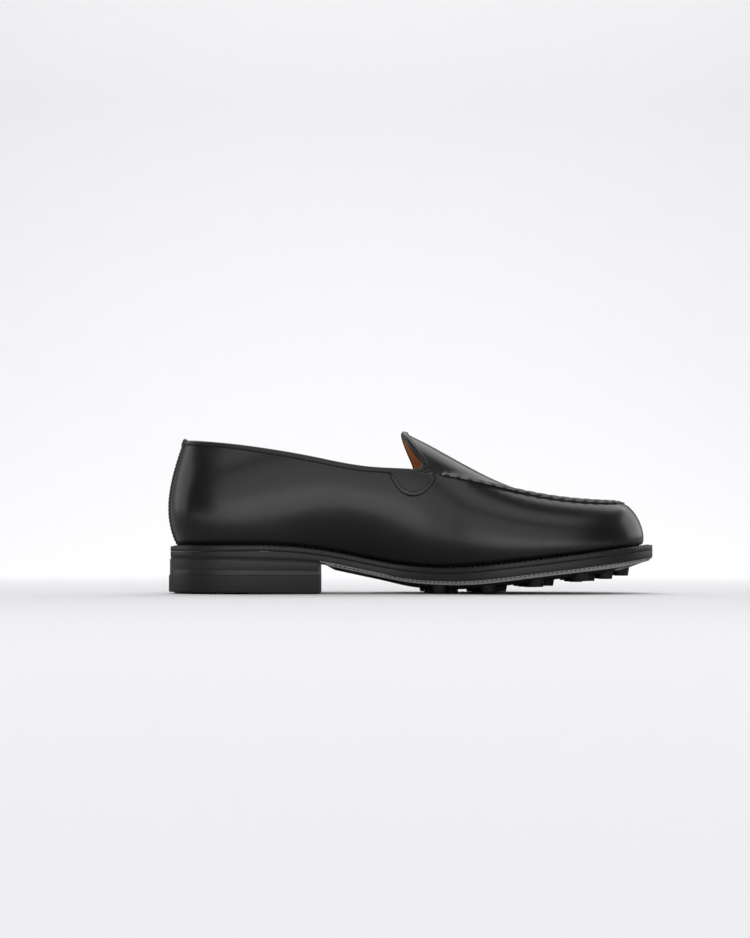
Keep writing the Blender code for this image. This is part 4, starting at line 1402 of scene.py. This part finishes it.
def heelGrids(inset, topAt, bottomAt, edgeProfile):
    # ribs up to the breast, then a flat front face
    ribs = np.linspace(0, shoe["ribsPerSide"], sole["samples"])
    half = ribs < heel["lastRib"]

    def endRib(sideRibs):
        x = outlineAt(sideRibs, inset)[0][:, 0]
        return float(np.interp(sole["breast"], x[half], ribs[half]))

    innerEnd, outerEnd = endRib(ribs), endRib(ribCount - ribs)
    steps = np.linspace(0, 1, heel["ribSteps"] * sole["ribSteps"] + 1)
    place = sideSteps(sole["acrossSteps"])

    def layer(out, heightAt):
        inner = outlineAt(steps * innerEnd, inset - out)[0]
        outer = outlineAt(ribCount - steps * outerEnd, inset - out)[0]
        spot = inner[:, None] + (outer - inner)[:, None] * (place[None, :, None] + 1) / 2
        spot[..., 0] = np.minimum(spot[..., 0], sole["breast"])
        return withHeight(spot, heightAt(spot))

    bottom = layer(edgeProfile[0][0], bottomAt)
    top = layer(edgeProfile[-1][0], topAt)
    rows = []
    for out, share in edgeProfile:
        low, high = layer(out, bottomAt), layer(out, topAt)
        grid = low + (high - low) * share
        rows.append(np.concatenate([grid[::-1, 0], grid[1:, -1], grid[-1, -2:0:-1]]))
    return [(bottom, False, False), (top, False, False), (np.stack(rows, axis=1), True, False)]


def buildHeel():
    stack = heelGrids(
        heel["stackInset"],
        lambda spot: soleBottomAt(spot[..., 0]) - sole["clearance"],
        lambda spot: heel["height"],
        heel["stackProfile"],
    )
    makePiece("heelStack", stack, stackedLeather, "heel_stack")
    topPiece = heelGrids(
        heel["topPieceInset"],
        lambda spot: heel["height"] - heel["topPieceClearance"],
        lambda spot: heelBaseAt(spot[..., 0]),
        heel["topPieceProfile"],
    )
    makePiece("heelTopPiece", topPiece, mouldedRubber, "heel_top_piece")
    studField("heelStuds", [(x, y, 0.0) for x, y in studs["underHeel"]], "heel_top_piece")


def buildHeelPad():
    # the lug at the back of the heel, cut off straight in front
    around = np.linspace(-heel["padRibs"], heel["padRibs"], heel["padSamples"] + 1)
    spot, _ = outlineAt(around, heel["padInset"])
    spot = spot[spot[:, 0] < heel["padReach"]]
    middle = np.stack([np.full(len(spot), heel["padReach"]), spot[:, 1]], axis=-1)
    shares = np.linspace(0, 1, heel["padSteps"] + 1)[None, :, None]
    flat = spot[:, None] + (middle - spot)[:, None] * shares
    low, high = withHeight(flat, 0.0), withHeight(flat, heel["baseBack"] + heel["padOverlap"])
    makePiece("heelPad", shellGrids(low, high), mouldedRubber, "heel_top_piece")


# Stitching

stitching = {
    "collar": {"pitch": 2.4, "length": 1.6, "thick": 0.6, "out": 0.93, "up": 0.15},
    "tab": {
        "pitch": 2.4, "length": 1.6, "thick": 0.7, "over": 0.05,
        "aboveEdge": 0.045, "narrower": 0.90, "endsLeftOut": 4, "highest": 0.97,
    },
    "strap": {
        "pitch": 2.3, "length": 1.7, "thick": 0.5, "over": 0.05,
        "beside": 0.74, "from": 0.03, "to": 0.94, "samples": 120,
    },
    "welt": {
        "pitch": 3.2, "length": 2.3, "thick": 0.75, "inset": 2.6, "over": 0.05, "samples": 1440,
    },
    "outsole": {
        "pitch": 2.8, "length": 1.7, "thick": 0.8, "inset": 1.0, "share": 0.22, "ahead": 10,
        "fromRib": 4.0, "toRib": 20.0, "samples": 961,
    },
    "apron": {
        "pitch": 7.0, "length": 3.2, "thick": 1.15, "out": 0.10, "up": 1.25,
        "inside": 0.06, "samples": 1200,
    },
}


def sewCollar(look):
    points, outs, ups = collarEdge()
    path = points + outs * look["out"] + ups * look["up"]
    sewn("collarStitches", path, look, "collar_binding", closed=True)


def sewOverlay(name, rib, rise, lift, look, node):
    base, _ = wallSurface(rib, rise)
    path = base + wallNormalAt(rib, rise) * (lift + look["over"])
    sewn(name, path, look, node)


def sewTab(name, node, edge, isOuter, look):
    ends = look["endsLeftOut"]
    ribs, low = (row[ends:-ends] for row in edge)
    centre = (tab["back"] + tab["front"]) / 2
    rib = centre + (ribs - centre) * look["narrower"]
    rise = np.minimum(low + look["aboveEdge"], look["highest"])
    sewOverlay(name, ribCount - rib if isOuter else rib, rise, tab["lift"], look, node)


def sewStrap(name, side, look):
    rise = np.linspace(look["from"], look["to"], look["samples"])
    rib = np.full_like(rise, side * strap["half"] * look["beside"])
    sewOverlay(name, rib, rise, strap["lift"], look, "back_strap")


def sewWelt(look):
    spot, _ = outlineAt(np.linspace(0, ribCount, look["samples"] + 1)[:-1], look["inset"])
    path = withHeight(spot, weltTopAt(spot[:, 0]) + look["over"])
    sewn("weltStitches", path, look, "welt", closed=True)


def sewOutsole(look):
    # on the bevel, in front of the heel
    around = np.linspace(look["fromRib"], look["toRib"], look["samples"])
    spot, _ = outlineAt(around, look["inset"])
    spot = spot[spot[:, 0] > sole["breast"] + look["ahead"]]
    low, high = undersideAt(spot), weltTopAt(spot[:, 0]) - shoe["weltThickness"]
    path = withHeight(spot, low + look["share"] * (high - low))
    sewn("outsoleStitches", path, look, "outsole")


def sewApron(look):
    # the path's points lie in the puckers, one pitch apart, and the stitches follow them
    start = sideWall["seamFrom"] + look["inside"]
    ribs = np.linspace(start, ribCount - start, look["samples"])
    arc = arcAt(ribs)
    pitch = sideWall["stitchPitch"]
    ribs = np.interp(np.arange(math.ceil(arc[0] / pitch) * pitch, arc[-1], pitch), arc, ribs)
    base, _ = wallSurface(ribs, np.full_like(ribs, 1.0))
    out, up = edgeFrame(ribs)
    path = base + out * look["out"] + up * look["up"]
    sewn("apronStitches", path, look, "upper")


buildSideWall()
buildApron()
print("upper built")
buildLiningWall()
buildLiningApron()
buildBinding()
innerTab = buildTab("tabInner", "tab_inner", False)
outerTab = buildTab("tabOuter", "tab_outer", True)
buildBackStrap()
print("trim built")
buildInsole()
buildWelt()
buildOutsole()
buildHeel()
buildHeelPad()
print("sole built")
sewCollar(stitching["collar"])
sewTab("tabInnerStitches", "tab_inner", innerTab, False, stitching["tab"])
sewTab("tabOuterStitches", "tab_outer", outerTab, True, stitching["tab"])
sewStrap("strapStitchesInner", 1, stitching["strap"])
sewStrap("strapStitchesOuter", -1, stitching["strap"])
sewWelt(stitching["welt"])
sewOutsole(stitching["outsole"])
sewApron(stitching["apron"])
print("stitching built")
